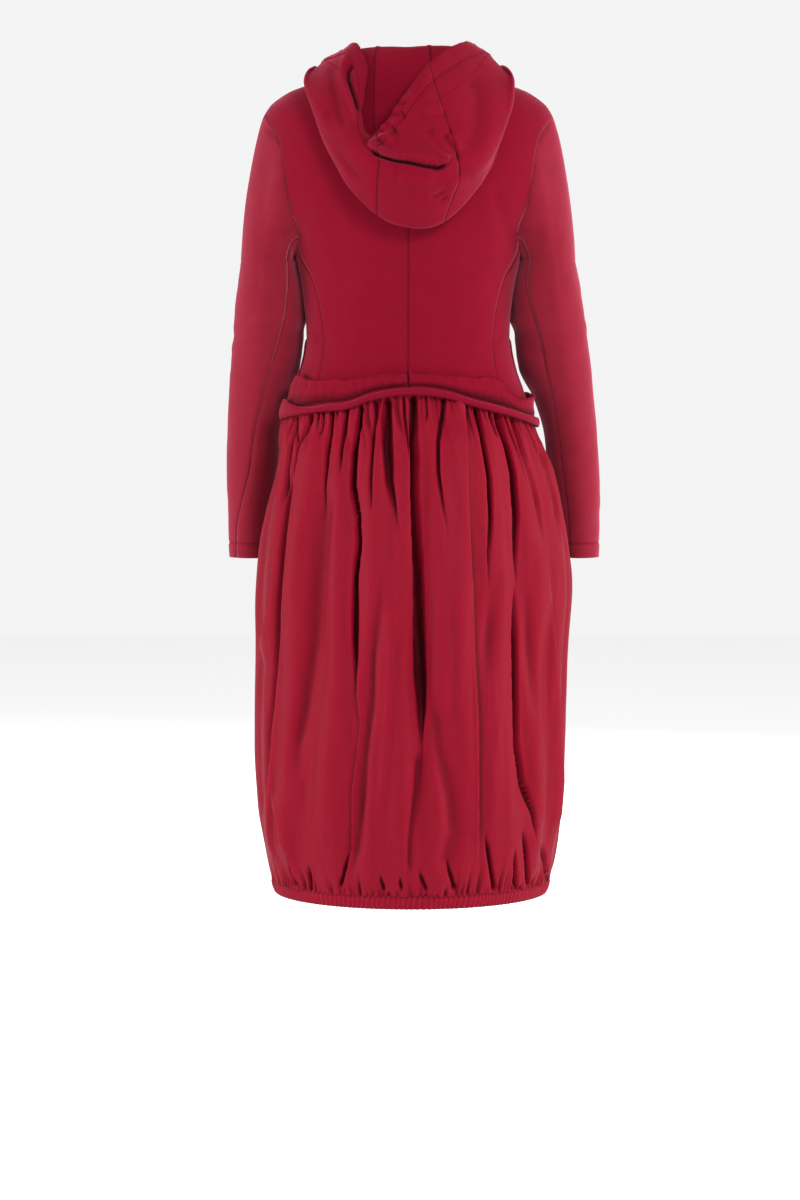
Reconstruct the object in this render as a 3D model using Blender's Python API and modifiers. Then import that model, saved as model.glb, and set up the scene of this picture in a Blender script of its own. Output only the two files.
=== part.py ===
# Hooded jacket dress as it hangs when it is worn: a fitted jersey bodice with a hood and two-piece sleeves,
# raw strips at the waist, and a gathered woven skirt drawn in by an elastic hem. Metres, +Z up, the garment's
# front towards -Y and the wearer's left at +X. The origin is the middle of the neck, level with the back
# neck seam.

import bpy
import bmesh
import numpy as np
from math import atan2, pi
from mathutils import Vector

# ---------------------------------------------------------------- driving sizes
jerseyWall = 0.0020
wovenWall = 0.0010
seamInset = 0.0004          # each cut edge stops this far short of its seam line
waistInset = 0.0012         # the same at the waist, whose seam curves
ridgeInset = 0.0009         # the same where the two walls meet at an angle
hoodSeamInset = 0.0010
hoodClearance = 0.0095      # from the body's form to the hood's outer face
hoodRest = 0.0065           # the same for the hood's inner layer
neckHalfWidth = 0.074
neckBackDepth = 0.058
neckFrontDepth = 0.092
bodySquareness = 2.2        # 2 is an ellipse, more is squarer
armholeMiddle = -0.145
armholeHalfHeight = 0.093
armholeHalfDepth = 0.072
sleeveSeamTurn = 50         # the sleeve's seams start this far below level, in degrees
capEnd = -0.250             # below this height the sleeve is a plain tube
cuffHeight = -0.665
rightArmSplay = 0.020       # the right cuff hangs this much farther out
hemTop = -1.1100
hemBottom = -1.1275
zipTop = -0.078
zipBottom = -0.424
frontEdge = 0.0045          # half the slot that the zip shows in
stripWall = 0.0015          # the raw strips at the waist
casingWall = 0.0030         # two layers of woven cloth over the elastic

# ---------------------------------------------------------------- tables
bodyTable = {
    "z":         [-0.500, -0.460, -0.430, -0.400, -0.365, -0.330, -0.285, -0.240, -0.213, -0.180, -0.150,
                  -0.120, -0.080, -0.052, -0.035, -0.017, 0.000, 0.014],
    "halfWidth": [0.186, 0.172, 0.160, 0.149, 0.142, 0.142, 0.147, 0.158, 0.164, 0.190, 0.203,
                  0.207, 0.203, 0.1985, 0.187, 0.159, 0.102, 0.064],
    "back":      [0.120, 0.107, 0.098, 0.091, 0.087, 0.090, 0.099, 0.109, 0.114, 0.117, 0.116,
                  0.113, 0.105, 0.097, 0.089, 0.077, 0.060, 0.046],
    "front":     [0.128, 0.118, 0.110, 0.104, 0.101, 0.106, 0.119, 0.132, 0.135, 0.132, 0.124,
                  0.112, 0.097, 0.084, 0.076, 0.065, 0.050, 0.036],
}
# The waist seam dips from the back to the sides, angle 90 being the centre back.
waistTable = {
    "angle": [-90, -40, 0, 30, 50, 62, 75, 90, 105, 120, 140, 160, 180, 220, 270],
    "z":     [-0.462, -0.464, -0.462, -0.455, -0.4495, -0.447, -0.434, -0.427, -0.431, -0.443, -0.455,
              -0.466, -0.472, -0.468, -0.462],
}
princessTable = {
    "z":     [-0.480, -0.430, -0.360, -0.330, -0.280, -0.225],
    "angle": [39.5, 39.0, 37.0, 35.5, 31.0, 25.0],
}
sleeveTable = {
    "z":          [-0.680, -0.610, -0.546, -0.484, -0.410, -0.335, -0.285, -0.250],
    "inner":      [0.190, 0.188, 0.1825, 0.1785, 0.1590, 0.1505, 0.1555, 0.1650],
    "outer":      [0.253, 0.2565, 0.2575, 0.2550, 0.2495, 0.2420, 0.2365, 0.2315],
    "middle":     [-0.117, -0.107, -0.093, -0.076, -0.050, -0.024, -0.011, -0.004],
    "halfDepth":  [0.042, 0.044, 0.046, 0.049, 0.053, 0.058, 0.062, 0.066],
    "seamLeft":   [46, 33, 6, -4, -13, -30, -40, -48],
    "seamRight":  [-22, -24, -28, -34, -24, -30, -44, -49],
}
skirtTable = {
    "z":         [-1.1275, -1.105, -1.084, -1.063, -1.022, -0.980, -0.917, -0.792, -0.688, -0.6255, -0.542,
                  -0.4865, -0.420],
    "shift":     [-0.004, -0.004, -0.004, -0.004, -0.003, -0.003, -0.003, -0.006, -0.009, -0.009, -0.010,
                  -0.008, 0.000],
    "halfWidth": [0.191, 0.197, 0.2015, 0.205, 0.2105, 0.2135, 0.2155, 0.2165, 0.2185, 0.211, 0.1925,
                  0.178, 0.156],
    "back":      [0.150, 0.156, 0.162, 0.166, 0.172, 0.176, 0.178, 0.177, 0.172, 0.163, 0.144,
                  0.124, 0.095],
    "front":     [0.146, 0.151, 0.156, 0.160, 0.164, 0.167, 0.169, 0.166, 0.160, 0.151, 0.139,
                  0.127, 0.107],
}
# Each fold is a valley between two ridges: where it runs, in degrees round the skirt at the waist, the
# middle and the hem, how deep it is there, and how wide.
foldColumns = ("waist", "middle", "hem", "waistDeep", "middleDeep", "hemDeep", "width")
foldRows = [
    (93.5, 92.7, 93.4, 0.006, 0.013, 0.007, 4.5),
    (115, 112, 116, 0.005, 0.007, 0.005, 5.0),
    (131, 131, 142, 0.006, 0.009, 0.005, 5.5),
    (153, 149, 157, 0.004, 0.008, 0.006, 5.0),
    (172, 167, 172, 0.004, 0.006, 0.005, 5.0),
    (79, 81, 79, 0.005, 0.005, 0.004, 4.5),
    (62, 69, 66, 0.005, 0.008, 0.004, 5.0),
    (48, 53, 42, 0.004, 0.009, 0.006, 5.5),
    (32, 36, 25, 0.004, 0.006, 0.006, 5.0),
    (8, 13, 8, 0.003, 0.007, 0.005, 6.0),
    (-16, -14, -12, 0.004, 0.006, 0.005, 5.5),
    (-38, -36, -37, 0.004, 0.008, 0.005, 5.5),
    (-58, -60, -58, 0.005, 0.007, 0.005, 5.0),
    (-76, -77, -79, 0.004, 0.009, 0.005, 5.0),
    (-97, -98, -96, 0.005, 0.006, 0.004, 5.0),
    (-115, -117, -118, 0.004, 0.009, 0.006, 5.5),
    (-137, -136, -138, 0.005, 0.007, 0.005, 5.5),
    (-160, -158, -156, 0.004, 0.008, 0.005, 6.0),
]
# The hood's section at each angle round the neck: the rolled top edge, the lowest fold of the bag, the
# fullest point of its outer wall, and the raw edge of the face opening.
hoodTopTable = {
    "angle":  [-90, -45, 0, 45, 90, 135, 180, 225, 270],
    "radius": [0.106, 0.098, 0.086, 0.082, 0.073, 0.082, 0.086, 0.098, 0.106],
    "z":      [-0.044, -0.006, 0.027, 0.034, 0.0345, 0.036, 0.027, -0.006, -0.044],
}
hoodBagTable = {
    "angle":       [-90, -50, -20, 0, 15, 30, 48, 60, 75, 90, 105, 120, 135, 150, 165, 180, 200, 230, 270],
    "foldRadius":  [0.124, 0.138, 0.140, 0.139, 0.140, 0.147, 0.154, 0.156, 0.148, 0.145, 0.145, 0.150, 0.153,
                    0.148, 0.140, 0.138, 0.140, 0.138, 0.124],
    "foldZ":       [-0.104, -0.080, -0.016, 0.004, -0.004, -0.045, -0.115, -0.158, -0.196, -0.2096, -0.2065,
                    -0.178, -0.131, -0.047, -0.005, 0.004, -0.016, -0.080, -0.104],
    "fullRadius":  [0.143, 0.152, 0.129, 0.122, 0.128, 0.149, 0.170, 0.176, 0.178, 0.178, 0.177, 0.175, 0.168,
                    0.150, 0.128, 0.121, 0.129, 0.152, 0.143],
    "fullZ":       [-0.080, -0.043, 0.004, 0.0165, 0.011, -0.007, -0.050, -0.088, -0.128, -0.138, -0.132,
                    -0.106, -0.064, -0.009, 0.011, 0.0165, 0.004, -0.043, -0.080],
}
hoodRimTable = {
    "angle":     [-90, -60, -30, 0, 30, 48, 57, 64, 70, 76, 84, 92, 100, 110, 124, 142, 180, 210, 240, 270],
    "rimAngle":  [-88, -58, -28, 0, 28, 48, 60, 64, 66, 72, 79, 86, 96, 104, 117, 134, 178, 208, 238, 268],
    "rimRadius": [0.132, 0.128, 0.120, 0.102, 0.100, 0.098, 0.110, 0.134, 0.153, 0.162, 0.158, 0.149, 0.139,
                  0.129, 0.1185, 0.1105, 0.102, 0.120, 0.128, 0.132],
    "rimZ":      [-0.048, -0.024, 0.004, 0.026, 0.034, 0.035, 0.004, -0.035, -0.064, -0.090, -0.074, -0.044,
                  -0.008, 0.011, 0.029, 0.041, 0.025, 0.004, -0.022, -0.048],
}
# The two seams of the hood's centre panel, from the neck seam (0) over the bag to the face opening (1).
hoodSeamTable = {
    "along": [0.00, 0.20, 0.35, 0.52, 0.70, 0.85, 1.00],
    "left":  [55, 62, 68, 74, 77, 79, 80],
    "right": [115, 109, 106, 108, 112, 110, 107],
}
# The turned-up raw strip above the waist seam: how high its top edge stands and how far it curls out.
flapTable = {
    "angle":  [-90, -40, 0, 24, 31, 46, 60, 75, 90, 105, 122, 140, 152, 166, 190, 230, 270],
    "height": [0.033, 0.030, 0.036, 0.042, 0.036, 0.031, 0.029, 0.020, 0.0145, 0.018, 0.028, 0.034, 0.018,
               0.026, 0.034, 0.032, 0.033],
    "curl":   [0.003, 0.002, 0.003, 0.004, 0.003, 0.003, 0.003, 0.005, 0.002, 0.002, 0.002, 0.002, 0.003,
               0.012, 0.007, 0.005, 0.004],
}
# The narrow raw band on the seam itself.
bandTable = {
    "angle":  [-90, -30, 0, 12, 24, 34, 60, 90, 120, 150, 170, 190, 270],
    "height": [0.011, 0.012, 0.016, 0.026, 0.018, 0.011, 0.010, 0.0095, 0.010, 0.0105, 0.012, 0.012, 0.011],
    "curl":   [0.001, 0.003, 0.006, 0.009, 0.006, 0.001, 0.001, 0.001, 0.001, 0.001, 0.004, 0.003, 0.001],
}


# ---------------------------------------------------------------- reading tables
def splineThrough(knots, points, at):
    # A smooth curve through points[k] at knots[k], read at each value of at.
    knots = np.asarray(knots, float)
    slopes = np.gradient(points, knots, axis=0)
    at = np.clip(at, knots[0], knots[-1])
    low = np.clip(np.searchsorted(knots, at, side="right") - 1, 0, len(knots) - 2)
    span = knots[low + 1] - knots[low]
    s = (at - knots[low]) / span
    if points.ndim == 1:
        first, last = points[low], points[low + 1]
        slopeFirst, slopeLast = slopes[low], slopes[low + 1]
    else:
        def take(values, index):
            return np.take_along_axis(values, index[None, ..., None], axis=0)[0]
        first, last = take(points, low), take(points, low + 1)
        slopeFirst, slopeLast = take(slopes, low), take(slopes, low + 1)
        s, span = s[..., None], span[..., None]
    return (
        first * (2 * s**3 - 3 * s**2 + 1)
        + last * (3 * s**2 - 2 * s**3)
        + slopeFirst * span * (s**3 - 2 * s**2 + s)
        + slopeLast * span * (s**3 - s**2)
    )


def read(table, column, at):
    key = next(iter(table))
    return splineThrough(table[key], np.asarray(table[column], float), np.asarray(at, float))


def mix(a, b, t):
    return a + (b - a) * t


def ease(t):
    t = np.clip(t, 0, 1)
    return t * t * (3 - 2 * t)


def point(x, y, z):
    return np.stack(np.broadcast_arrays(x, y, z), axis=-1).astype(float)


# ---------------------------------------------------------------- the body that the cloth takes its form from
def bodyDepth(side, z):
    return np.where(side > 0, read(bodyTable, "back", z), -read(bodyTable, "front", z))


def bodyAtAngle(degrees, z, lift=0.0):
    turn = np.radians(degrees)
    c, s = np.cos(turn), np.sin(turn)
    power = 2 / bodySquareness
    halfWidth = read(bodyTable, "halfWidth", z) + lift
    depth = np.abs(bodyDepth(s, z)) + lift
    return point(np.sign(c) * np.abs(c) ** power * halfWidth, np.sign(s) * np.abs(s) ** power * depth, z)


def bodyAtWidth(x, z, side):
    halfWidth = read(bodyTable, "halfWidth", z)
    ratio = np.clip(np.abs(x) / halfWidth, 0, 1)
    return point(x, bodyDepth(side, z) * (1 - ratio**bodySquareness) ** (1 / bodySquareness), z)


def bodyExcess(p):
    # Below zero inside the body, above zero outside it.
    x, y, z = p[..., 0], p[..., 1], p[..., 2]
    width = np.abs(x) / read(bodyTable, "halfWidth", z)
    depth = np.abs(y) / np.abs(bodyDepth(y, z))
    return (width**bodySquareness + depth**bodySquareness) ** (1 / bodySquareness) - 1


def keepOff(p, clearance):
    # Moves points out along the body's normal until they lie at least clearance from it.
    step = 0.0005
    for _ in range(4):
        here = bodyExcess(p)
        slope = np.stack(
            [(bodyExcess(p + step * axis) - here) / step for axis in np.eye(3)], axis=-1
        )
        size = np.linalg.norm(slope, axis=-1)
        short = np.maximum(clearance - here / size, 0)
        p = p + slope / size[..., None] * short[..., None]
    return p


def waistZ(degrees, mirrored=False):
    degrees = np.asarray(degrees, float)
    if mirrored:
        degrees = 180 - degrees
    return read(waistTable, "z", (degrees + 90) % 360 - 90)


def neckline(degrees):
    # The neck seam: an ellipse seen from above, dropped onto the body by halving.
    turn = np.radians(degrees)
    x = neckHalfWidth * np.cos(turn)
    y = np.where(np.sin(turn) > 0, neckBackDepth, neckFrontDepth) * np.sin(turn)
    low, high = np.full_like(x, -0.13), np.full_like(x, 0.0135)
    for _ in range(30):
        middle = (low + high) / 2
        outside = bodyExcess(point(x, y, middle)) > 0
        high = np.where(outside, middle, high)
        low = np.where(outside, low, middle)
    return point(x, y, low)


def armhole(degrees):
    # Seen from the side: 90 is the shoulder, 0 the back, 180 the front and -90 the underarm.
    turn = np.radians(degrees)
    power = 2 / bodySquareness
    y = armholeHalfDepth * np.sign(np.cos(turn)) * np.abs(np.cos(turn)) ** power
    z = armholeMiddle + armholeHalfHeight * np.sign(np.sin(turn)) * np.abs(np.sin(turn)) ** power
    ratio = np.clip(np.abs(y) / np.abs(bodyDepth(y, z)), 0, 1)
    x = read(bodyTable, "halfWidth", z) * (1 - ratio**bodySquareness) ** (1 / bodySquareness)
    return point(x, y, z)


# ---------------------------------------------------------------- bodice
armholeRise = np.concatenate([np.linspace(-90, -sleeveSeamTurn, 3), np.linspace(-sleeveSeamTurn, 90, 6)[1:]])
princessSteps = 5
sideSteps = 5


def princess(t, mirrored):
    # From the waist (0) to the armhole (1); t is an array.
    top = armhole(np.array(-sleeveSeamTurn))
    foot = waistZ(39.0, mirrored)
    z = mix(foot, top[2], t)
    seam = bodyAtAngle(read(princessTable, "angle", z), z)
    return mix(seam, bodyAtWidth(top[0], z, 1), ease((t - 0.75) / 0.25)[..., None])


def outerEdge(front, mirrored):
    # The edge of a front or a back: below, the side or princess seam, and above, the armhole, to the shoulder.
    if front:
        z = mix(waistZ(0.0, mirrored), armhole(np.array(-90.0))[2], np.linspace(0, 1, sideSteps + 1))
        seam = bodyAtAngle(np.zeros_like(z), z)
        rise = armhole(180 - armholeRise[1:])
    else:
        seam = princess(np.linspace(0, 1, princessSteps + 1), mirrored)
        rise = armhole(armholeRise[3:])
    return np.concatenate([seam, rise])


def topEdge(front, columns):
    # The neckline from the centre, then the shoulder seam down to the armhole.
    half = columns // 2
    swing = np.linspace(90, 0, half + 1)
    neck = neckline(-swing if front else swing)
    neck[-1, 1] = 0
    tip = armhole(np.array(90.0))
    x = mix(neck[-1, 0], tip[0], np.linspace(0, 1, columns - half + 1)[1:])
    z = np.interp(x, bodyTable["halfWidth"][:-6:-1], bodyTable["z"][:-6:-1])
    return np.concatenate([neck, point(x, 0 * x, z)])


def frontOrBack(front, columns, mirrored):
    edge, top = outerEdge(front, mirrored), topEdge(front, columns)
    rows = len(edge)
    side = -1 if front else 1
    s = np.linspace(0, 1, columns + 1)
    last = 90 if front else 90 - 39
    across = np.sin(np.radians(s * last)) / np.sin(np.radians(last))
    z0, z1 = waistZ(side * 90.0, mirrored), top[0, 2]
    rise = (edge[:, 2] - edge[0, 2]) / (edge[-1, 2] - edge[0, 2])
    centreZ = mix(z0, z1, rise)
    grid = np.empty((rows, columns + 1, 3))
    bottomZ = waistZ(side * (90 - s * last), mirrored)
    for row in range(rows):
        t = rise[row]
        z = (
            mix(bottomZ, top[:, 2], t)
            + mix(centreZ[row], edge[row, 2], s)
            - mix(mix(bottomZ[0], top[0, 2], t), mix(bottomZ[-1], top[-1, 2], t), s)
        )
        x = edge[row, 0] * mix(across, top[:, 0] / top[-1, 0], ease((t - 0.35) / 0.65))
        grid[row] = bodyAtWidth(x, z, side)
    grid[:, -1] = edge
    grid[-1] = top
    return grid


def sideBack(columns, mirrored):
    seam = princess(np.linspace(0, 1, princessSteps + 1), mirrored)
    z = mix(waistZ(0.0, mirrored), armhole(np.array(-90.0))[2], np.linspace(0, 1, sideSteps + 1))
    side = bodyAtAngle(np.zeros_like(z), z)
    top = armhole(armholeRise[:3])
    s = np.linspace(0, 1, columns + 1)
    grid = np.empty((len(z), columns + 1, 3))
    for row in range(len(z)):
        t = row / (len(z) - 1)
        height = mix(side[row, 2], seam[row, 2], s) + t**3 * (top[:, 2] - mix(top[0, 2], top[-1, 2], s))
        swing = np.degrees(np.arcsin(np.clip(seam[row, 1] / read(bodyTable, "back", seam[row, 2]), 0, 1)
                                     ** (bodySquareness / 2)))
        grid[row] = bodyAtAngle(s * swing, height)
    grid[:, 0], grid[:, -1], grid[-1] = side, seam, top
    return grid


# ---------------------------------------------------------------- sleeves
def sleeveRing(degrees, z, splay):
    turn = np.radians(degrees)
    inner, outer = read(sleeveTable, "inner", z), read(sleeveTable, "outer", z)
    out = splay * np.clip((capEnd - z) / (capEnd - cuffHeight), 0, 1) ** 0.8
    x = (inner + outer) / 2 + (outer - inner) / 2 * np.sin(turn) + out
    y = read(sleeveTable, "middle", z) + read(sleeveTable, "halfDepth", z) * np.cos(turn)
    return point(x, y, z)


def sleevePoint(degrees, down, splay):
    # Down the sleeve: 0 is the armhole, 1 the end of the cap and 2 the cuff.
    degrees, down = np.broadcast_arrays(np.asarray(degrees, float), np.asarray(down, float))
    turn = np.radians(degrees)
    high = (1 + np.sin(turn)) / 2
    start, end = armhole(degrees), sleeveRing(degrees, np.full_like(down, capEnd), splay)
    leave = point(0.030 + 0.005 * high, 0.012 * np.cos(turn), -0.002 - 0.073 * high)
    arrive = point(0.008 * high - 0.004, 0 * high, -0.012 - 0.188 * high)
    t = np.clip(down, 0, 1)[..., None]
    cap = (
        start * (2 * t**3 - 3 * t**2 + 1) + end * (3 * t**2 - 2 * t**3)
        + leave * (t**3 - 2 * t**2 + t) + arrive * (t**3 - t**2)
    )
    tube = sleeveRing(degrees, mix(capEnd, cuffHeight, np.clip(down - 1, 0, 1)), splay)
    return np.where(down[..., None] <= 1, cap, tube)


sleeveDown = np.array([0, 0.25, 0.5, 0.75, 1.0, 1.18, 1.38, 1.58, 1.79, 2.0])


def sleevePiece(upper, seamColumn, splay):
    z = np.where(sleeveDown < 1, capEnd, mix(capEnd, cuffHeight, sleeveDown - 1))
    backSeam = np.where(sleeveDown < 1, mix(-sleeveSeamTurn, read(sleeveTable, seamColumn, capEnd), sleeveDown),
                        read(sleeveTable, seamColumn, z))
    frontSeam = np.full_like(backSeam, 180.0 + sleeveSeamTurn)
    if upper:
        stops = (np.concatenate([armholeRise[2:], 180 - armholeRise[2:-1][::-1]]) + sleeveSeamTurn) / (
            180 + 2 * sleeveSeamTurn)
        first, last = backSeam, frontSeam
    else:
        stops = np.linspace(0, 1, 5)
        first, last = frontSeam, backSeam + 360
    degrees = first[:, None] + (last - first)[:, None] * stops[None, :]
    return sleevePoint(degrees, np.broadcast_to(sleeveDown[:, None], degrees.shape), splay)


# ---------------------------------------------------------------- hood
hoodKnots = [0.0, 0.05, 0.11, 0.16, 0.31, 0.47, 0.52, 0.57, 0.74, 0.90, 1.0]


def hoodPoint(degrees, along):
    # Along the hood's section: 0 is the neck seam, 0.52 the bottom of the bag and 1 the face opening.
    degrees, along = np.broadcast_arrays(np.asarray(degrees, float), np.asarray(along, float))
    seam = neckline(degrees)
    seamRadius = np.hypot(seam[..., 0], seam[..., 1])
    seamAngle = np.degrees(np.arctan2(seam[..., 1], seam[..., 0]))
    seamAngle = degrees + (seamAngle - degrees + 180) % 360 - 180
    top = np.stack([read(hoodTopTable, "radius", degrees), read(hoodTopTable, "z", degrees), degrees], -1)
    fold = np.stack([read(hoodBagTable, "foldRadius", degrees), read(hoodBagTable, "foldZ", degrees), degrees], -1)
    full = np.stack([read(hoodBagTable, "fullRadius", degrees), read(hoodBagTable, "fullZ", degrees), degrees], -1)
    rim = np.stack([read(hoodRimTable, "rimRadius", degrees), read(hoodRimTable, "rimZ", degrees),
                    read(hoodRimTable, "rimAngle", degrees)], -1)
    root = np.stack([seamRadius, seam[..., 2], seamAngle], -1)
    inner = mix(top, fold, 0.5)
    middle = mix(inner, full, 0.5)
    outward = (fold - middle)[..., :2]
    outward /= np.linalg.norm(outward, axis=-1)[..., None]
    zero = np.zeros_like(outward[..., :1])
    ahead = np.concatenate([outward, zero], -1)
    across = np.concatenate([-outward[..., 1:2], outward[..., :1], zero], -1)
    step = np.array([1.0, 1.0, 0.0])
    # The bag's lowest fold is tighter over the shoulders than at the back.
    tight = ease((np.abs(degrees - 90) - 50) / 35)[..., None]
    back, half = mix(0.014, 0.011, tight), mix(0.011, 0.0078, tight)
    chain = np.stack([
        root,
        mix(root, top, 0.55) + step * [-0.002, 0, 0],
        top,
        top + step * [0.010, -0.008, 0],
        inner,
        fold - ahead * back - across * half,
        fold,
        fold - ahead * back + across * half,
        full,
        mix(full, rim, 0.62) + step * [0.004, 0.002, 0],
        rim,
    ])
    section = splineThrough(hoodKnots, chain, along)
    turn = np.radians(section[..., 2])
    p = point(section[..., 0] * np.cos(turn), section[..., 0] * np.sin(turn), section[..., 1])
    clearance = mix(mix(0.0011, hoodRest, ease(along / 0.11)), hoodClearance, ease((along - 0.38) / 0.12))
    return keepOff(p, clearance)


hoodAlong = np.array([0.008, 0.06, 0.11, 0.16, 0.24, 0.33, 0.42, 0.48, 0.52, 0.56, 0.64, 0.74, 0.83, 0.91, 1.0])


def hoodPiece(first, last, columns):
    t = hoodAlong[:, None]
    a = first(t)
    b = last(t)
    s = np.linspace(0, 1, columns + 1)[None, :]
    return hoodPoint(a + (b - a) * s, np.broadcast_to(t, (len(hoodAlong), columns + 1)))


# ---------------------------------------------------------------- skirt
skirtColumns = 72
skirtDown = np.array([0, 0.03, 0.075, 0.14, 0.24, 0.36, 0.50, 0.64, 0.78, 0.89, 0.96, 1.0])


def foldDepth(degrees, down):
    depth = np.zeros(np.broadcast(degrees, down).shape)
    keys = [0.0, 0.5, 1.0]
    for row in foldRows:
        fold = dict(zip(foldColumns, row))
        where = splineThrough(keys, np.array([fold["waist"], fold["middle"], fold["hem"]], float), down)
        deep = splineThrough(keys, np.array([fold["waistDeep"], fold["middleDeep"], fold["hemDeep"]]), down)
        off = (degrees - where + 180) % 360 - 180
        depth += deep * (np.exp(-(off / fold["width"]) ** 2) - 0.25 * np.exp(-(off / (3 * fold["width"])) ** 2))
    return depth


def skirtPoint(degrees, down):
    degrees, down = np.broadcast_arrays(np.asarray(degrees, float), np.asarray(down, float))
    turn = np.radians(degrees)
    c, s = np.cos(turn), np.sin(turn)
    z = mix(waistZ(degrees) - 0.0007, hemTop, down)
    depth = np.where(s > 0, read(skirtTable, "back", z), read(skirtTable, "front", z))
    ring = point(read(skirtTable, "halfWidth", z) * c + read(skirtTable, "shift", z), depth * s, z)
    seam = bodyAtAngle(degrees, z)
    seam[..., :2] *= 1 - 0.0005 / np.linalg.norm(seam[..., :2], axis=-1)[..., None]
    p = mix(seam, ring, ease(down / 0.10)[..., None])
    deep = foldDepth(degrees, down) * ease(down / 0.10) * (1 - 0.75 * ease((down - 0.86) / 0.14))
    outward = p[..., :2] / np.linalg.norm(p[..., :2], axis=-1)[..., None]
    p[..., :2] -= outward * deep[..., None]
    return p


def skirtPiece(firstDegrees, lastDegrees):
    degrees = np.linspace(firstDegrees, lastDegrees, skirtColumns // 2 + 1)[None, :]
    return skirtPoint(degrees, skirtDown[:, None])


# ---------------------------------------------------------------- waist strips and hem
def stripAround(table, degrees, share, foot, lift):
    # A strip that stands on the waist seam: share 0 is its lower edge and 1 its upper edge.
    height = read(table, "height", degrees)
    curl = read(table, "curl", degrees)
    z = waistZ(degrees) + foot + height * share
    return bodyAtAngle(degrees, z, lift + curl * share**1.5)


def flapPiece(firstDegrees, lastDegrees):
    degrees = np.linspace(firstDegrees, lastDegrees, 23)[None, :]
    return stripAround(flapTable, degrees, np.array([0, 0.5, 1.0])[:, None], 0.0075, jerseyWall + 0.0007)


def bandPiece():
    degrees = np.linspace(-90, 270, 49)[:-1][None, :]
    return stripAround(bandTable, degrees, np.array([0, 1.0])[:, None], -0.006, jerseyWall + 0.0004)


def casingPiece():
    degrees = np.linspace(-90, 270, 49)[:-1][None, :]
    turn = np.radians(degrees)
    z = np.array([hemBottom, hemTop - 0.0003])[:, None]
    depth = np.where(np.sin(turn) > 0, read(skirtTable, "back", z), read(skirtTable, "front", z)) - 0.001
    x = (read(skirtTable, "halfWidth", z) - 0.001) * np.cos(turn) + read(skirtTable, "shift", z)
    return point(x, depth * np.sin(turn), np.broadcast_to(z, x.shape))


# ---------------------------------------------------------------- making objects
def clearScene():
    for obj in list(bpy.data.objects):
        bpy.data.objects.remove(obj)


def newCollection(name):
    collection = bpy.data.collections.new(name)
    bpy.context.scene.collection.children.link(collection)
    return collection


def newMaterial(name, colour, roughness, metallic):
    material = bpy.data.materials.new(name)
    material.use_nodes = True
    shader = material.node_tree.nodes["Principled BSDF"]
    shader.inputs["Base Color"].default_value = (*colour, 1)
    shader.inputs["Roughness"].default_value = roughness
    shader.inputs["Metallic"].default_value = metallic
    return material


def insetEdges(grid, bottom=0.0, top=0.0, left=0.0, right=0.0):
    # Draws the edges of a piece back from its seam lines, towards the next row or column.
    grid = grid.copy()
    for edge, inside, amount in (
        (grid[0], grid[1], bottom), (grid[-1], grid[-2], top),
        (grid[:, 0], grid[:, 1], left), (grid[:, -1], grid[:, -2], right),
    ):
        step = inside - edge
        edge += step / np.linalg.norm(step, axis=-1)[:, None] * amount
    return grid


def addSheet(name, grid, wall, material, mirrored=False, closed=False, rolled=False):
    # An open surface of triangles, rows by columns, given its thickness inwards by Solidify.
    rows, columns = grid.shape[:2]
    points = grid.reshape(-1, 3).copy()
    if mirrored:
        points[:, 0] *= -1
    faces = []
    for row in range(rows - 1):
        for column in range(columns if closed else columns - 1):
            a = row * columns + column
            b = row * columns + (column + 1) % columns
            faces += [(a, b, b + columns), (a, b + columns, a + columns)]
    if mirrored:
        faces = [face[::-1] for face in faces]
    mesh = bpy.data.meshes.new(name)
    mesh.from_pydata(points.tolist(), [], faces)
    mesh.materials.append(material)
    obj = bpy.data.objects.new(name, mesh)
    partCollection.objects.link(obj)
    thick = obj.modifiers.new("wall", "SOLIDIFY")
    thick.thickness = wall
    thick.offset = -1
    thick.use_even_offset = not rolled
    thick.use_quality_normals = True
    return obj


def newCube(size, centre):
    bpy.ops.mesh.primitive_cube_add(size=1, location=centre)
    obj = bpy.context.object
    obj.scale = size
    bpy.ops.object.transform_apply(location=True, rotation=False, scale=True)
    return obj


def newPin(radius, length, centre):
    # A round pin along X.
    bpy.ops.mesh.primitive_cylinder_add(vertices=16, radius=radius, depth=length, rotation=(0, pi / 2, 0))
    obj = bpy.context.object
    obj.location = centre
    bpy.ops.object.transform_apply(location=True, rotation=True, scale=False)
    return obj


def addJoined(name, added, cut, place, tilt, material):
    # The first solid with the rest joined on and the cutters taken off, set on the garment at place.
    obj = added[0]
    obj.name = name
    for helper, operation in [(o, "UNION") for o in added[1:]] + [(o, "DIFFERENCE") for o in cut]:
        step = obj.modifiers.new(operation.lower(), "BOOLEAN")
        step.operation = operation
        step.object = helper
        helper.hide_render = True
        helper.display_type = "WIRE"
        helper.location, helper.rotation_euler = place, (tilt, 0, 0)
        moveTo(helper, cutterCollection)
    obj.location, obj.rotation_euler = place, (tilt, 0, 0)
    obj.data.materials.append(material)
    moveTo(obj, partCollection)
    return obj


def moveTo(obj, collection):
    for owner in list(obj.users_collection):
        owner.objects.unlink(obj)
    collection.objects.link(obj)


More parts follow.
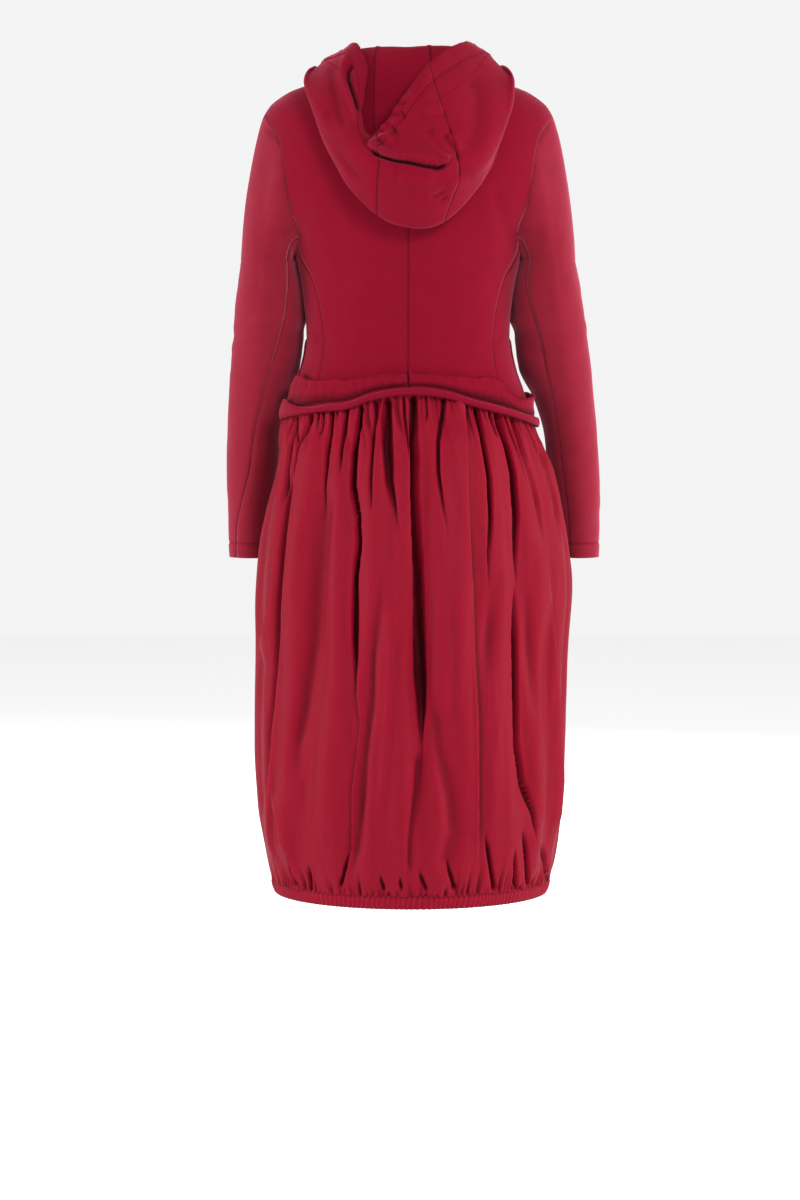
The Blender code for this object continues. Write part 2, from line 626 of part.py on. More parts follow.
# ---------------------------------------------------------------- the zip at the centre front
tapeWall = 0.0008
tapeLift = -(jerseyWall + 0.0011)
tapeInner = 0.0031          # the tape runs from here to tapeOuter on each side
tapeOuter = 0.0135
chainHalfWidth = 0.0028
chainWall = 0.0024
chainLift = -0.0012         # the chain's face lies this far behind the front's face
sliderHalfWidth = 0.0039
sliderLength = 0.0110
sliderPlate = 0.0014
sliderMiddle = -0.0865
postLength = 0.0042
postWidth = 0.0030
lugWall = 0.0008            # the two ears on the slider that hold the pull tab's pin
lugDepth = 0.0042
lugHeight = 0.0030
lugMiddle = 0.0017
lugGap = 0.0004
pinLift = 0.0029            # the pull tab's pin stands this far in front of the fronts
pinUp = 0.0015
pinRadius = 0.0006
pinPlay = 0.0003
eyeRadius = 0.0018
eyeHalfWidth = 0.0011
tabLength = 0.0260
tabHalfWidth = 0.0026
tabWall = 0.0011
tabNeck = 0.0045
neckDrop = 0.0008           # the neck starts this far below the pin, clear of the hole


def zipStrip(front, x0, x1, lift, bottom, top):
    # Follows the facets of a front beside its centre line, moved out by lift.
    middle, beside = front[:, 0], front[:, 1]
    inside = (middle[:, 2] > bottom + 0.004) & (middle[:, 2] < top - 0.004)
    z = np.concatenate([[bottom], middle[inside, 2], [top]])
    middle, beside = (
        np.stack([np.interp(z, middle[:, 2], line[:, axis]) for axis in range(3)], -1) for line in (middle, beside)
    )
    slope = (beside - middle) / (beside - middle)[:, :1]
    slope[:, 0] = 0
    return np.stack([middle + slope * abs(x) + [x, -lift, 0] for x in (x0, x1)], axis=1)


def addZip():
    front = frontOrBack(True, 6, False)
    for name, sign in (("left", 1), ("right", -1)):
        strip = zipStrip(front, tapeInner, tapeOuter, tapeLift, zipBottom, zipTop)
        addSheet("zip_tape_" + name, strip, tapeWall, jerseyRed, mirrored=sign < 0)
    chainTop = sliderMiddle + sliderLength / 2 - postLength - 0.0035
    chain = zipStrip(front, -chainHalfWidth, chainHalfWidth, chainLift, zipBottom, chainTop)
    addSheet("zip_chain", chain, chainWall, teethRed)

    face = bodyAtAngle(np.array([-90.0, -90.0]), np.array([sliderMiddle - 0.02, sliderMiddle + 0.005]))
    tilt = -atan2(face[1, 1] - face[0, 1], face[1, 2] - face[0, 2])
    place = Vector(bodyAtAngle(np.array(-90.0), np.array(sliderMiddle)))
    plateSize = (2 * sliderHalfWidth, sliderPlate, sliderLength)
    frontPlate = -(chainLift + 0.0003 + sliderPlate / 2)
    backPlate = -(chainLift - chainWall - 0.0010 - sliderPlate / 2)
    postMiddle = (sliderLength - postLength) / 2
    lugOut = eyeHalfWidth + lugGap + lugWall / 2
    added = [
        newCube(plateSize, (0, frontPlate, 0)),
        newCube(plateSize, (0, backPlate, 0)),
        newCube((postWidth, backPlate - frontPlate, postLength), (0, (frontPlate + backPlate) / 2, postMiddle)),
        newCube((lugWall, lugDepth, lugHeight), (lugOut, -lugMiddle, pinUp)),
        newCube((lugWall, lugDepth, lugHeight), (-lugOut, -lugMiddle, pinUp)),
        newPin(pinRadius, 2 * lugOut, (0, -pinLift, pinUp)),
    ]
    addJoined("zip_slider", added, [], place, tilt, metalRed)

    hinge = place + Vector((0, -pinLift * np.cos(tilt) - pinUp * np.sin(tilt),
                            -pinLift * np.sin(tilt) + pinUp * np.cos(tilt)))
    added = [
        newPin(eyeRadius, 2 * eyeHalfWidth, (0, 0, 0)),
        newCube((2 * eyeHalfWidth, tabWall, tabNeck), (0, 0, -tabNeck / 2 - neckDrop)),
        newCube((2 * tabHalfWidth, tabWall, tabLength), (0, 0, -tabNeck - tabLength / 2)),
    ]
    hole = newPin(pinRadius + pinPlay, 4 * eyeHalfWidth, (0, 0, 0))
    addJoined("zip_pull", added, [hole], hinge, tilt, metalRed)


# ---------------------------------------------------------------- the garment
clearScene()
partCollection = newCollection("jacket_dress")
cutterCollection = newCollection("cutters")
jerseyRed = newMaterial("jersey", (0.32, 0.012, 0.030), 0.85, 0.0)
wovenRed = newMaterial("woven", (0.36, 0.012, 0.030), 0.65, 0.0)
teethRed = newMaterial("teeth", (0.25, 0.010, 0.022), 0.40, 0.0)
metalRed = newMaterial("painted_metal", (0.25, 0.010, 0.022), 0.35, 0.6)

for name, mirrored in (("left", False), ("right", True)):
    back = insetEdges(frontOrBack(False, 6, mirrored), waistInset, ridgeInset, seamInset, ridgeInset)
    addSheet("back_" + name, back[:, ::-1], jerseyWall, jerseyRed, mirrored)
    side = insetEdges(sideBack(2, mirrored), waistInset, ridgeInset, ridgeInset, ridgeInset)
    addSheet("side_back_" + name, side, jerseyWall, jerseyRed, mirrored)
    front = frontOrBack(True, 6, mirrored)
    front[:, 0] = mix(front[:, 0], front[:, 1], frontEdge / front[:, 1, :1])
    front = insetEdges(front, waistInset, ridgeInset, 0, ridgeInset)
    addSheet("front_" + name, front, jerseyWall, jerseyRed, mirrored)
    seamColumn, splay = ("seamRight", rightArmSplay) if mirrored else ("seamLeft", 0.0)
    for part, upper in (("upper", True), ("under", False)):
        piece = insetEdges(sleevePiece(upper, seamColumn, splay), ridgeInset, 0, seamInset, seamInset)
        addSheet("sleeve_" + part + "_" + name, piece[:, ::-1], jerseyWall, jerseyRed, mirrored)

seamLeft = lambda t: read(hoodSeamTable, "left", t)
seamRight = lambda t: read(hoodSeamTable, "right", t)
for name, first, last, columns in (
    ("hood_left", lambda t: -87 + 0 * t, seamLeft, 11),
    ("hood_centre", seamLeft, seamRight, 4),
    ("hood_right", seamRight, lambda t: 267 + 0 * t, 12),
):
    piece = insetEdges(hoodPiece(first, last, columns), 0, 0, hoodSeamInset, hoodSeamInset)
    addSheet(name, piece, jerseyWall, jerseyRed, rolled=True)
for name, first, last in (("skirt_back", 0, 180), ("skirt_front", -180, 0)):
    piece = insetEdges(skirtPiece(first, last), left=seamInset, right=seamInset)
    addSheet(name, piece[::-1], wovenWall, wovenRed)
for name, first, last in (("waist_flap_left", -89.7, 89.7), ("waist_flap_right", 90.3, 269.7)):
    addSheet(name, flapPiece(first, last), stripWall, jerseyRed)
addSheet("waist_band", bandPiece(), stripWall, jerseyRed, closed=True)
addSheet("hem_casing", casingPiece(), casingWall, wovenRed, closed=True)
addZip()
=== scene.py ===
# Looks of the hooded jacket dress, built round the imported frame. Metres, +Z up, the garment's front towards -Y.
# Each cloth piece is a thin shell on the form of its solid, with its creases placed one by one.
# Angles are in degrees, 0 at the garment's left side seam and 90 at the centre back.

import bpy
import numpy as np
from math import pi
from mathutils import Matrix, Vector


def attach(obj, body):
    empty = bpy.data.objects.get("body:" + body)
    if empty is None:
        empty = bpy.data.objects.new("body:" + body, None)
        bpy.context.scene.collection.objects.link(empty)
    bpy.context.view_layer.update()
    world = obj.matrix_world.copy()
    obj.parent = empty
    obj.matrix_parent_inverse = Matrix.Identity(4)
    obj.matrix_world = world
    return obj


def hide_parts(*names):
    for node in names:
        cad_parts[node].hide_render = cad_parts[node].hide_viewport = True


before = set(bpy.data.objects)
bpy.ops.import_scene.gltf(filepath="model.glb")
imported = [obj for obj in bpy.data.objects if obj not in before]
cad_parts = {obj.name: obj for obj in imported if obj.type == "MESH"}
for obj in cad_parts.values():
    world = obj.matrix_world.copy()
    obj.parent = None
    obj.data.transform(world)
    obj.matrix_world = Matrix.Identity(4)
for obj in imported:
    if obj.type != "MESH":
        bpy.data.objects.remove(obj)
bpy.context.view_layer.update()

# The camera stands behind the garment. Creases are placed by where they show in its 800 x 1200 frame.
view = {"place": (0.0111, 4.0, -0.40), "look": (0.0111, 0.0, -0.7186), "lens": 86.33, "sensor": 36,
        "pixels": (800, 1200)}

# The form, as in the solid's source.
neckHalfWidth, neckBackDepth, neckFrontDepth = 0.074, 0.058, 0.092
bodySquareness = 2.2
armholeMiddle, armholeHalfHeight, armholeHalfDepth = -0.145, 0.093, 0.072
sleeveSeamTurn, princessTurn = 50, 39
capEnd, cuffHeight = -0.250, -0.665
hoodClearance = 0.0095
hemTop, hemBottom = -1.1100, -1.1275
zipTop, zipBottom = -0.078, -0.424

bodyTable = {
    "z": [-0.500, -0.460, -0.430, -0.400, -0.365, -0.330, -0.285, -0.240, -0.213, -0.180, -0.150, -0.120,
        -0.080, -0.052, -0.035, -0.017, 0.000, 0.014],
    "halfWidth": [0.186, 0.172, 0.160, 0.149, 0.142, 0.142, 0.147, 0.158, 0.164, 0.190, 0.203, 0.207, 0.203,
        0.1985, 0.187, 0.159, 0.102, 0.064],
    "back": [0.120, 0.107, 0.098, 0.091, 0.087, 0.090, 0.099, 0.109, 0.114, 0.117, 0.116, 0.113, 0.105, 0.097,
        0.089, 0.077, 0.060, 0.046],
    "front": [0.128, 0.118, 0.110, 0.104, 0.101, 0.106, 0.119, 0.132, 0.135, 0.132, 0.124, 0.112, 0.097, 0.084,
        0.076, 0.065, 0.050, 0.036],
}
waistTable = {
    "angle": [-90, -40, 0, 30, 50, 62, 75, 90, 105, 120, 140, 160, 180, 220, 270],
    "z": [-0.462, -0.464, -0.462, -0.455, -0.4495, -0.447, -0.434, -0.427, -0.431, -0.443, -0.455, -0.466,
        -0.472, -0.468, -0.462],
}
princessTable = {
    "z": [-0.480, -0.430, -0.360, -0.330, -0.280, -0.225],
    "angle": [39.5, 39.0, 37.0, 35.5, 31.0, 25.0],
}
sleeveTable = {
    "z": [-0.680, -0.610, -0.546, -0.484, -0.410, -0.335, -0.285, -0.250],
    "inner": [0.190, 0.188, 0.1825, 0.1785, 0.1590, 0.1505, 0.1555, 0.1650],
    "outer": [0.253, 0.2565, 0.2575, 0.2550, 0.2495, 0.2420, 0.2365, 0.2315],
    "middle": [-0.117, -0.107, -0.093, -0.076, -0.050, -0.024, -0.011, -0.004],
    "halfDepth": [0.042, 0.044, 0.046, 0.049, 0.053, 0.058, 0.062, 0.066],
    "seamLeft": [46, 33, 6, -4, -13, -30, -40, -48],
    "seamRight": [-22, -24, -28, -34, -24, -30, -44, -49],
}
skirtTable = {
    "z": [-1.1275, -1.105, -1.084, -1.063, -1.022, -0.980, -0.917, -0.792, -0.688, -0.6255, -0.542, -0.4865,
        -0.420],
    "shift": [-0.004, -0.004, -0.004, -0.004, -0.003, -0.003, -0.003, -0.006, -0.009, -0.009, -0.010, -0.008,
        0.000],
    "halfWidth": [0.191, 0.197, 0.2015, 0.205, 0.2105, 0.2135, 0.2155, 0.2165, 0.2185, 0.211, 0.1925, 0.178,
        0.156],
    "back": [0.150, 0.156, 0.162, 0.166, 0.172, 0.176, 0.178, 0.177, 0.172, 0.163, 0.144, 0.124, 0.095],
    "front": [0.146, 0.151, 0.156, 0.160, 0.164, 0.167, 0.169, 0.166, 0.160, 0.151, 0.139, 0.127, 0.107],
}
foldColumns = ("waist", "middle", "hem", "waistDeep", "middleDeep", "hemDeep", "width")
foldRows = [
    (93.5, 92.7, 93.4, 0.006, 0.013, 0.007, 4.5),
    (115, 112, 116, 0.005, 0.007, 0.005, 5.0),
    (131, 131, 142, 0.006, 0.009, 0.005, 5.5),
    (153, 149, 157, 0.004, 0.008, 0.006, 5.0),
    (172, 167, 172, 0.004, 0.006, 0.005, 5.0),
    (79, 81, 79, 0.005, 0.005, 0.004, 4.5),
    (62, 69, 66, 0.005, 0.008, 0.004, 5.0),
    (48, 53, 42, 0.004, 0.009, 0.006, 5.5),
    (32, 36, 25, 0.004, 0.006, 0.006, 5.0),
    (8, 13, 8, 0.003, 0.007, 0.005, 6.0),
    (-16, -14, -12, 0.004, 0.006, 0.005, 5.5),
    (-38, -36, -37, 0.004, 0.008, 0.005, 5.5),
    (-58, -60, -58, 0.005, 0.007, 0.005, 5.0),
    (-76, -77, -79, 0.004, 0.009, 0.005, 5.0),
    (-97, -98, -96, 0.005, 0.006, 0.004, 5.0),
    (-115, -117, -118, 0.004, 0.009, 0.006, 5.5),
    (-137, -136, -138, 0.005, 0.007, 0.005, 5.5),
    (-160, -158, -156, 0.004, 0.008, 0.005, 6.0),
]
hoodTopTable = {
    "angle": [-90, -45, 0, 45, 90, 135, 180, 225, 270],
    "radius": [0.106, 0.098, 0.086, 0.082, 0.073, 0.082, 0.086, 0.098, 0.106],
    "z": [-0.044, -0.006, 0.027, 0.034, 0.0345, 0.036, 0.027, -0.006, -0.044],
}
hoodBagTable = {
    "angle": [-90, -50, -20, 0, 15, 30, 48, 60, 75, 90, 105, 120, 135, 150, 165, 180, 200, 230, 270],
    "foldRadius": [0.124, 0.138, 0.140, 0.139, 0.140, 0.147, 0.154, 0.156, 0.148, 0.145, 0.145, 0.150, 0.153,
        0.148, 0.140, 0.138, 0.140, 0.138, 0.124],
    "foldZ": [-0.104, -0.080, -0.016, 0.004, -0.004, -0.045, -0.115, -0.158, -0.196, -0.2096, -0.2065, -0.178,
        -0.131, -0.047, -0.005, 0.004, -0.016, -0.080, -0.104],
    "fullRadius": [0.143, 0.152, 0.129, 0.122, 0.128, 0.149, 0.170, 0.176, 0.178, 0.178, 0.177, 0.175, 0.168,
        0.150, 0.128, 0.121, 0.129, 0.152, 0.143],
    "fullZ": [-0.080, -0.043, 0.004, 0.0165, 0.011, -0.007, -0.050, -0.088, -0.128, -0.138, -0.132, -0.106,
        -0.064, -0.009, 0.011, 0.0165, 0.004, -0.043, -0.080],
}
hoodRimTable = {
    "angle": [-90, -60, -30, 0, 30, 48, 57, 64, 70, 76, 84, 92, 100, 110, 124, 142, 180, 210, 240, 270],
    "rimAngle": [-88, -58, -28, 0, 28, 48, 60, 64, 66, 72, 79, 86, 96, 104, 117, 134, 178, 208, 238, 268],
    "rimRadius": [0.132, 0.128, 0.120, 0.102, 0.100, 0.098, 0.110, 0.134, 0.153, 0.162, 0.158, 0.149, 0.139,
        0.129, 0.1185, 0.1105, 0.102, 0.120, 0.128, 0.132],
    "rimZ": [-0.048, -0.024, 0.004, 0.026, 0.034, 0.035, 0.004, -0.035, -0.064, -0.090, -0.074, -0.044, -0.008,
        0.011, 0.029, 0.041, 0.025, 0.004, -0.022, -0.048],
}
hoodSeamTable = {
    "along": [0.00, 0.20, 0.35, 0.52, 0.70, 0.85, 1.00],
    "left": [55, 62, 68, 74, 77, 79, 80],
    "right": [115, 109, 106, 108, 112, 110, 107],
}
flapTable = {
    "angle": [-90, -40, 0, 24, 31, 46, 60, 75, 90, 105, 122, 140, 152, 166, 190, 230, 270],
    "height": [0.033, 0.030, 0.036, 0.042, 0.036, 0.031, 0.029, 0.020, 0.0145, 0.018, 0.028, 0.034, 0.018,
        0.026, 0.034, 0.032, 0.033],
    "curl": [0.003, 0.002, 0.003, 0.004, 0.003, 0.003, 0.003, 0.005, 0.002, 0.002, 0.002, 0.002, 0.003, 0.012,
        0.007, 0.005, 0.004],
}
bandTable = {
    "angle": [-90, -30, 0, 12, 24, 34, 60, 90, 120, 150, 170, 190, 270],
    "height": [0.011, 0.012, 0.016, 0.026, 0.018, 0.011, 0.010, 0.0095, 0.010, 0.0105, 0.012, 0.012, 0.011],
    "curl": [0.001, 0.003, 0.006, 0.009, 0.006, 0.001, 0.001, 0.001, 0.001, 0.001, 0.004, 0.003, 0.001],
}


def hermite(first, last, leave, arrive, t):
    # Runs from first to last as t runs from 0 to 1, with these slopes at its ends.
    return (
        first * (2 * t**3 - 3 * t**2 + 1) + last * (3 * t**2 - 2 * t**3)
        + leave * (t**3 - 2 * t**2 + t) + arrive * (t**3 - t**2)
    )


def splineThrough(knots, points, at):
    knots = np.asarray(knots, float)
    slopes = np.gradient(points, knots, axis=0)
    at = np.clip(at, knots[0], knots[-1])
    low = np.clip(np.searchsorted(knots, at, side="right") - 1, 0, len(knots) - 2)
    span = knots[low + 1] - knots[low]
    s = (at - knots[low]) / span
    if points.ndim == 1:
        first, last = points[low], points[low + 1]
        slopeFirst, slopeLast = slopes[low], slopes[low + 1]
    else:
        def take(values, index):
            return np.take_along_axis(values, index[None, ..., None], axis=0)[0]
        first, last = take(points, low), take(points, low + 1)
        slopeFirst, slopeLast = take(slopes, low), take(slopes, low + 1)
        s, span = s[..., None], span[..., None]
    return hermite(first, last, slopeFirst * span, slopeLast * span, s)


def read(table, column, at):
    # A table's first column is what the others are read against.
    key = next(iter(table))
    return splineThrough(table[key], np.asarray(table[column], float), np.asarray(at, float))


def mix(a, b, t):
    return a + (b - a) * t


def ease(t):
    t = np.clip(t, 0, 1)
    return t * t * (3 - 2 * t)


def bell(x, middle, width):
    return np.exp(-((x - middle) / width) ** 2)


def point(x, y, z):
    return np.stack(np.broadcast_arrays(x, y, z), axis=-1).astype(float)


def squarer(part):
    # A sine or cosine, turned to suit the body's squarer outline.
    return np.sign(part) * np.abs(part) ** (2 / bodySquareness)


def outline(ratio):
    # How much of one half axis is left at this share of the other.
    return (1 - np.clip(ratio, 0, 1) ** bodySquareness) ** (1 / bodySquareness)


def bodyDepth(side, z):
    return np.where(side > 0, read(bodyTable, "back", z), -read(bodyTable, "front", z))


def bodyAtAngle(degrees, z, lift=0.0):
    turn = np.radians(degrees)
    c, s = np.cos(turn), np.sin(turn)
    halfWidth = read(bodyTable, "halfWidth", z) + lift
    depth = np.abs(bodyDepth(s, z)) + lift
    return point(squarer(c) * halfWidth, squarer(s) * depth, z)


def bodyAtWidth(x, z, side):
    return point(x, bodyDepth(side, z) * outline(np.abs(x) / read(bodyTable, "halfWidth", z)), z)


def bodyExcess(p):
    x, y, z = p[..., 0], p[..., 1], p[..., 2]
    width = np.abs(x) / read(bodyTable, "halfWidth", z)
    depth = np.abs(y) / np.abs(bodyDepth(y, z))
    return (width**bodySquareness + depth**bodySquareness) ** (1 / bodySquareness) - 1


def keepOff(p, clearance):
    step = 0.0005
    for _ in range(4):
        here = bodyExcess(p)
        slope = np.stack([(bodyExcess(p + step * axis) - here) / step for axis in np.eye(3)], axis=-1)
        size = np.linalg.norm(slope, axis=-1)
        short = np.maximum(clearance - here / size, 0)
        p = p + slope / size[..., None] * short[..., None]
    return p


def waistZ(degrees, mirrored=False):
    degrees = np.asarray(degrees, float)
    if mirrored:
        degrees = 180 - degrees
    return read(waistTable, "z", (degrees + 90) % 360 - 90)


def neckline(degrees):
    turn = np.radians(degrees)
    x = neckHalfWidth * np.cos(turn)
    y = np.where(np.sin(turn) > 0, neckBackDepth, neckFrontDepth) * np.sin(turn)
    low, high = np.full_like(x, -0.13), np.full_like(x, 0.0135)
    for _ in range(30):
        middle = (low + high) / 2
        outside = bodyExcess(point(x, y, middle)) > 0
        high = np.where(outside, middle, high)
        low = np.where(outside, low, middle)
    return point(x, y, low)


def armhole(degrees):
    turn = np.radians(degrees)
    y = armholeHalfDepth * squarer(np.cos(turn))
    z = armholeMiddle + armholeHalfHeight * squarer(np.sin(turn))
    return point(read(bodyTable, "halfWidth", z) * outline(np.abs(y) / np.abs(bodyDepth(y, z))), y, z)


def princess(t, mirrored):
    top = armhole(np.array(-sleeveSeamTurn))
    z = mix(waistZ(princessTurn, mirrored), top[2], t)
    seam = bodyAtAngle(read(princessTable, "angle", z), z)
    return mix(seam, bodyAtWidth(top[0], z, 1), ease((t - 0.75) / 0.25)[..., None])


# Fine grids of the pieces, rows by columns.
def sideSeam(rows, mirrored):
    z = mix(waistZ(0.0, mirrored), armhole(np.array(-90.0))[2], np.linspace(0, 1, rows + 1))
    return bodyAtAngle(np.zeros_like(z), z)


def frontOrBack(front, rows, columns, mirrored):
    low = int(rows * 0.55)   # the rows below the armhole
    if front:
        seam, first = sideSeam(low, mirrored), -90
    else:
        seam, first = princess(np.linspace(0, 1, low + 1), mirrored), -sleeveSeamTurn
    climb = np.linspace(first, 90, rows - low + 1)[1:]
    edge = np.concatenate([seam, armhole(180 - climb if front else climb)])
    half = columns // 2
    swing = np.linspace(90, 0, half + 1)
    neck = neckline(-swing if front else swing)
    neck[-1, 1] = 0
    tip = armhole(np.array(90.0))
    x = mix(neck[-1, 0], tip[0], np.linspace(0, 1, columns - half + 1)[1:])
    z = np.interp(x, bodyTable["halfWidth"][:-6:-1], bodyTable["z"][:-6:-1])
    top = np.concatenate([neck, point(x, 0 * x, z)])
    side = -1 if front else 1
    s = np.linspace(0, 1, columns + 1)
    last = 90 if front else 90 - princessTurn
    across = np.sin(np.radians(s * last)) / np.sin(np.radians(last))
    z0, z1 = waistZ(side * 90.0, mirrored), top[0, 2]
    rise = (edge[:, 2] - edge[0, 2]) / (edge[-1, 2] - edge[0, 2])
    centreZ = mix(z0, z1, rise)
    bottomZ = waistZ(side * (90 - s * last), mirrored)
    t = rise[:, None]
    z = (
        mix(bottomZ, top[:, 2], t) + mix(centreZ[:, None], edge[:, 2:], s)
        - mix(mix(bottomZ[0], top[0, 2], t), mix(bottomZ[-1], top[-1, 2], t), s)
    )
    x = edge[:, :1] * mix(across, top[:, 0] / top[-1, 0], ease((t - 0.35) / 0.65))
    grid = bodyAtWidth(x, z, side)
    grid[:, -1] = edge
    grid[-1] = top
    return grid


def sideBack(rows, columns, mirrored):
    seam = princess(np.linspace(0, 1, rows + 1), mirrored)
    side = sideSeam(rows, mirrored)
    top = armhole(np.linspace(-90, -sleeveSeamTurn, columns + 1))
    s = np.linspace(0, 1, columns + 1)
    t = np.linspace(0, 1, rows + 1)[:, None]
    height = mix(side[:, 2:], seam[:, 2:], s) + t**3 * (top[:, 2] - mix(top[0, 2], top[-1, 2], s))
    depth = np.clip(seam[:, 1] / read(bodyTable, "back", seam[:, 2]), 0, 1)
    swing = np.degrees(np.arcsin(depth ** (bodySquareness / 2)))
    grid = bodyAtAngle(s * swing[:, None], height)
    grid[:, 0], grid[:, -1], grid[-1] = side, seam, top
    return grid


def sleeveSplay(z, splay):
    # How far out the sleeve stands at this height; splay is how far at the cuff.
    return splay * np.clip((capEnd - z) / (capEnd - cuffHeight), 0, 1) ** 0.8


def sleeveRing(degrees, z, splay):
    turn = np.radians(degrees)
    inner, outer = read(sleeveTable, "inner", z), read(sleeveTable, "outer", z)
    x = (inner + outer) / 2 + (outer - inner) / 2 * np.sin(turn) + sleeveSplay(z, splay)
    y = read(sleeveTable, "middle", z) + read(sleeveTable, "halfDepth", z) * np.cos(turn)
    return point(x, y, z)


def sleevePoint(degrees, down, splay):
    degrees, down = np.broadcast_arrays(np.asarray(degrees, float), np.asarray(down, float))
    turn = np.radians(degrees)
    high = (1 + np.sin(turn)) / 2
    start, end = armhole(degrees), sleeveRing(degrees, np.full_like(down, capEnd), splay)
    # The slopes with which the cap leaves the armhole and reaches the tube; high is 1 at the shoulder.
    leave = point(0.030 + 0.005 * high, 0.012 * np.cos(turn), -0.002 - 0.073 * high)
    arrive = point(0.008 * high - 0.004, 0 * high, -0.012 - 0.188 * high)
    t = np.clip(down, 0, 1)[..., None]
    cap = hermite(start, end, leave, arrive, t)
    tube = sleeveRing(degrees, mix(capEnd, cuffHeight, np.clip(down - 1, 0, 1)), splay)
    return np.where(down[..., None] <= 1, cap, tube)


def sleevePiece(upper, seamColumn, splay, rows, columns):
    down = np.concatenate([np.linspace(0, 1, rows // 3 + 1)[:-1], np.linspace(1, 2, rows - rows // 3 + 1)])
    z = np.where(down < 1, capEnd, mix(capEnd, cuffHeight, down - 1))
    atCap = mix(-sleeveSeamTurn, read(sleeveTable, seamColumn, capEnd), down)
    backSeam = np.where(down < 1, atCap, read(sleeveTable, seamColumn, z))
    frontSeam = np.full_like(backSeam, 180.0 + sleeveSeamTurn)
    first, last = (backSeam, frontSeam) if upper else (frontSeam, backSeam + 360)
    degrees = first[:, None] + (last - first)[:, None] * np.linspace(0, 1, columns + 1)
    return sleevePoint(degrees, np.broadcast_to(down[:, None], degrees.shape), splay)


# The bag's lowest fold: its roundness at the centre back and over the shoulders, and where that changes.
hoodFold = {"back": (0.014, 0.011), "half": (0.011, 0.0078), "from": 50, "over": 35}
# The stations of the hood's section, from its neck seam to its rim.
hoodKnots = [0.0, 0.05, 0.11, 0.16, 0.31, 0.47, 0.52, 0.57, 0.74, 0.90, 1.0]


def hoodPoint(degrees, along):
    degrees, along = np.broadcast_arrays(np.asarray(degrees, float), np.asarray(along, float))
    seam = neckline(degrees)
    seamRadius = np.hypot(seam[..., 0], seam[..., 1])
    seamAngle = np.degrees(np.arctan2(seam[..., 1], seam[..., 0]))
    seamAngle = degrees + (seamAngle - degrees + 180) % 360 - 180

    def station(table, radius, z, angle=degrees):
        return np.stack([read(table, radius, degrees), read(table, z, degrees), angle], -1)

    root = np.stack([seamRadius, seam[..., 2], seamAngle], -1)
    top = station(hoodTopTable, "radius", "z")
    fold = station(hoodBagTable, "foldRadius", "foldZ")
    full = station(hoodBagTable, "fullRadius", "fullZ")
    rim = station(hoodRimTable, "rimRadius", "rimZ", read(hoodRimTable, "rimAngle", degrees))
    inner = mix(top, fold, 0.5)
    outward = (fold - mix(inner, full, 0.5))[..., :2]
    outward /= np.linalg.norm(outward, axis=-1)[..., None]
    zero = np.zeros_like(outward[..., :1])
    ahead = np.concatenate([outward, zero], -1)
    across = np.concatenate([-outward[..., 1:2], outward[..., :1], zero], -1)
    tight = ease((np.abs(degrees - 90) - hoodFold["from"]) / hoodFold["over"])[..., None]
    back, half = mix(*hoodFold["back"], tight), mix(*hoodFold["half"], tight)
    chain = np.stack([
        root,
        mix(root, top, 0.55) + np.array([-0.002, 0, 0]),
        top,
        top + np.array([0.010, -0.008, 0]),
        inner,
        fold - ahead * back - across * half,
        fold,
        fold - ahead * back + across * half,
        full,
        mix(full, rim, 0.62) + np.array([0.004, 0.002, 0]),
        rim,
    ])
    section = splineThrough(hoodKnots, chain, along)
    turn = np.radians(section[..., 2])
    p = point(section[..., 0] * np.cos(turn), section[..., 0] * np.sin(turn), section[..., 1])
    clear = mix(mix(0.0011, 0.0065, ease(along / 0.11)), hoodClearance, ease((along - 0.38) / 0.12))
    return keepOff(p, clear)


def foldDepth(degrees, down):
    depth = np.zeros(np.broadcast(degrees, down).shape)
    keys = [0.0, 0.5, 1.0]
    for row in foldRows:
        fold = dict(zip(foldColumns, row))
        where = splineThrough(keys, np.array([fold["waist"], fold["middle"], fold["hem"]], float), down)
        deep = splineThrough(keys, np.array([fold["waistDeep"], fold["middleDeep"], fold["hemDeep"]]), down)
        off = (degrees - where + 180) % 360 - 180
        depth += deep * (bell(off, 0, fold["width"]) - 0.25 * bell(off, 0, 3 * fold["width"]))
    return depth


def skirtRing(degrees, z, inset=0.0):
    turn = np.radians(degrees)
    halfWidth = read(skirtTable, "halfWidth", z) - inset
    depth = np.where(np.sin(turn) > 0, read(skirtTable, "back", z), read(skirtTable, "front", z)) - inset
    return point(halfWidth * np.cos(turn) + read(skirtTable, "shift", z), depth * np.sin(turn), z)


def skirtPoint(degrees, down):
    degrees, down = np.broadcast_arrays(np.asarray(degrees, float), np.asarray(down, float))
    z = mix(waistZ(degrees) - 0.0007, hemTop, down)
    ring = skirtRing(degrees, z)
    seam = bodyAtAngle(degrees, z)
    seam[..., :2] *= 1 - 0.0005 / np.linalg.norm(seam[..., :2], axis=-1)[..., None]
    leave = ease(down / 0.10)
    p = mix(seam, ring, leave[..., None])
    deep = foldDepth(degrees, down) * leave * (1 - 0.75 * ease((down - 0.86) / 0.14))
    outward = p[..., :2] / np.linalg.norm(p[..., :2], axis=-1)[..., None]
    p[..., :2] -= outward * deep[..., None]
    return p


def stripAround(table, degrees, share, foot, lift):
    height = read(table, "height", degrees)
    curl = read(table, "curl", degrees)
    z = waistZ(degrees) + foot + height * share
    return bodyAtAngle(degrees, z, lift + curl * share**1.5)


# Creases and wrinkles.
noiseCells = 32
noiseTable = np.random.default_rng(7).uniform(-1, 1, (noiseCells, noiseCells, noiseCells))


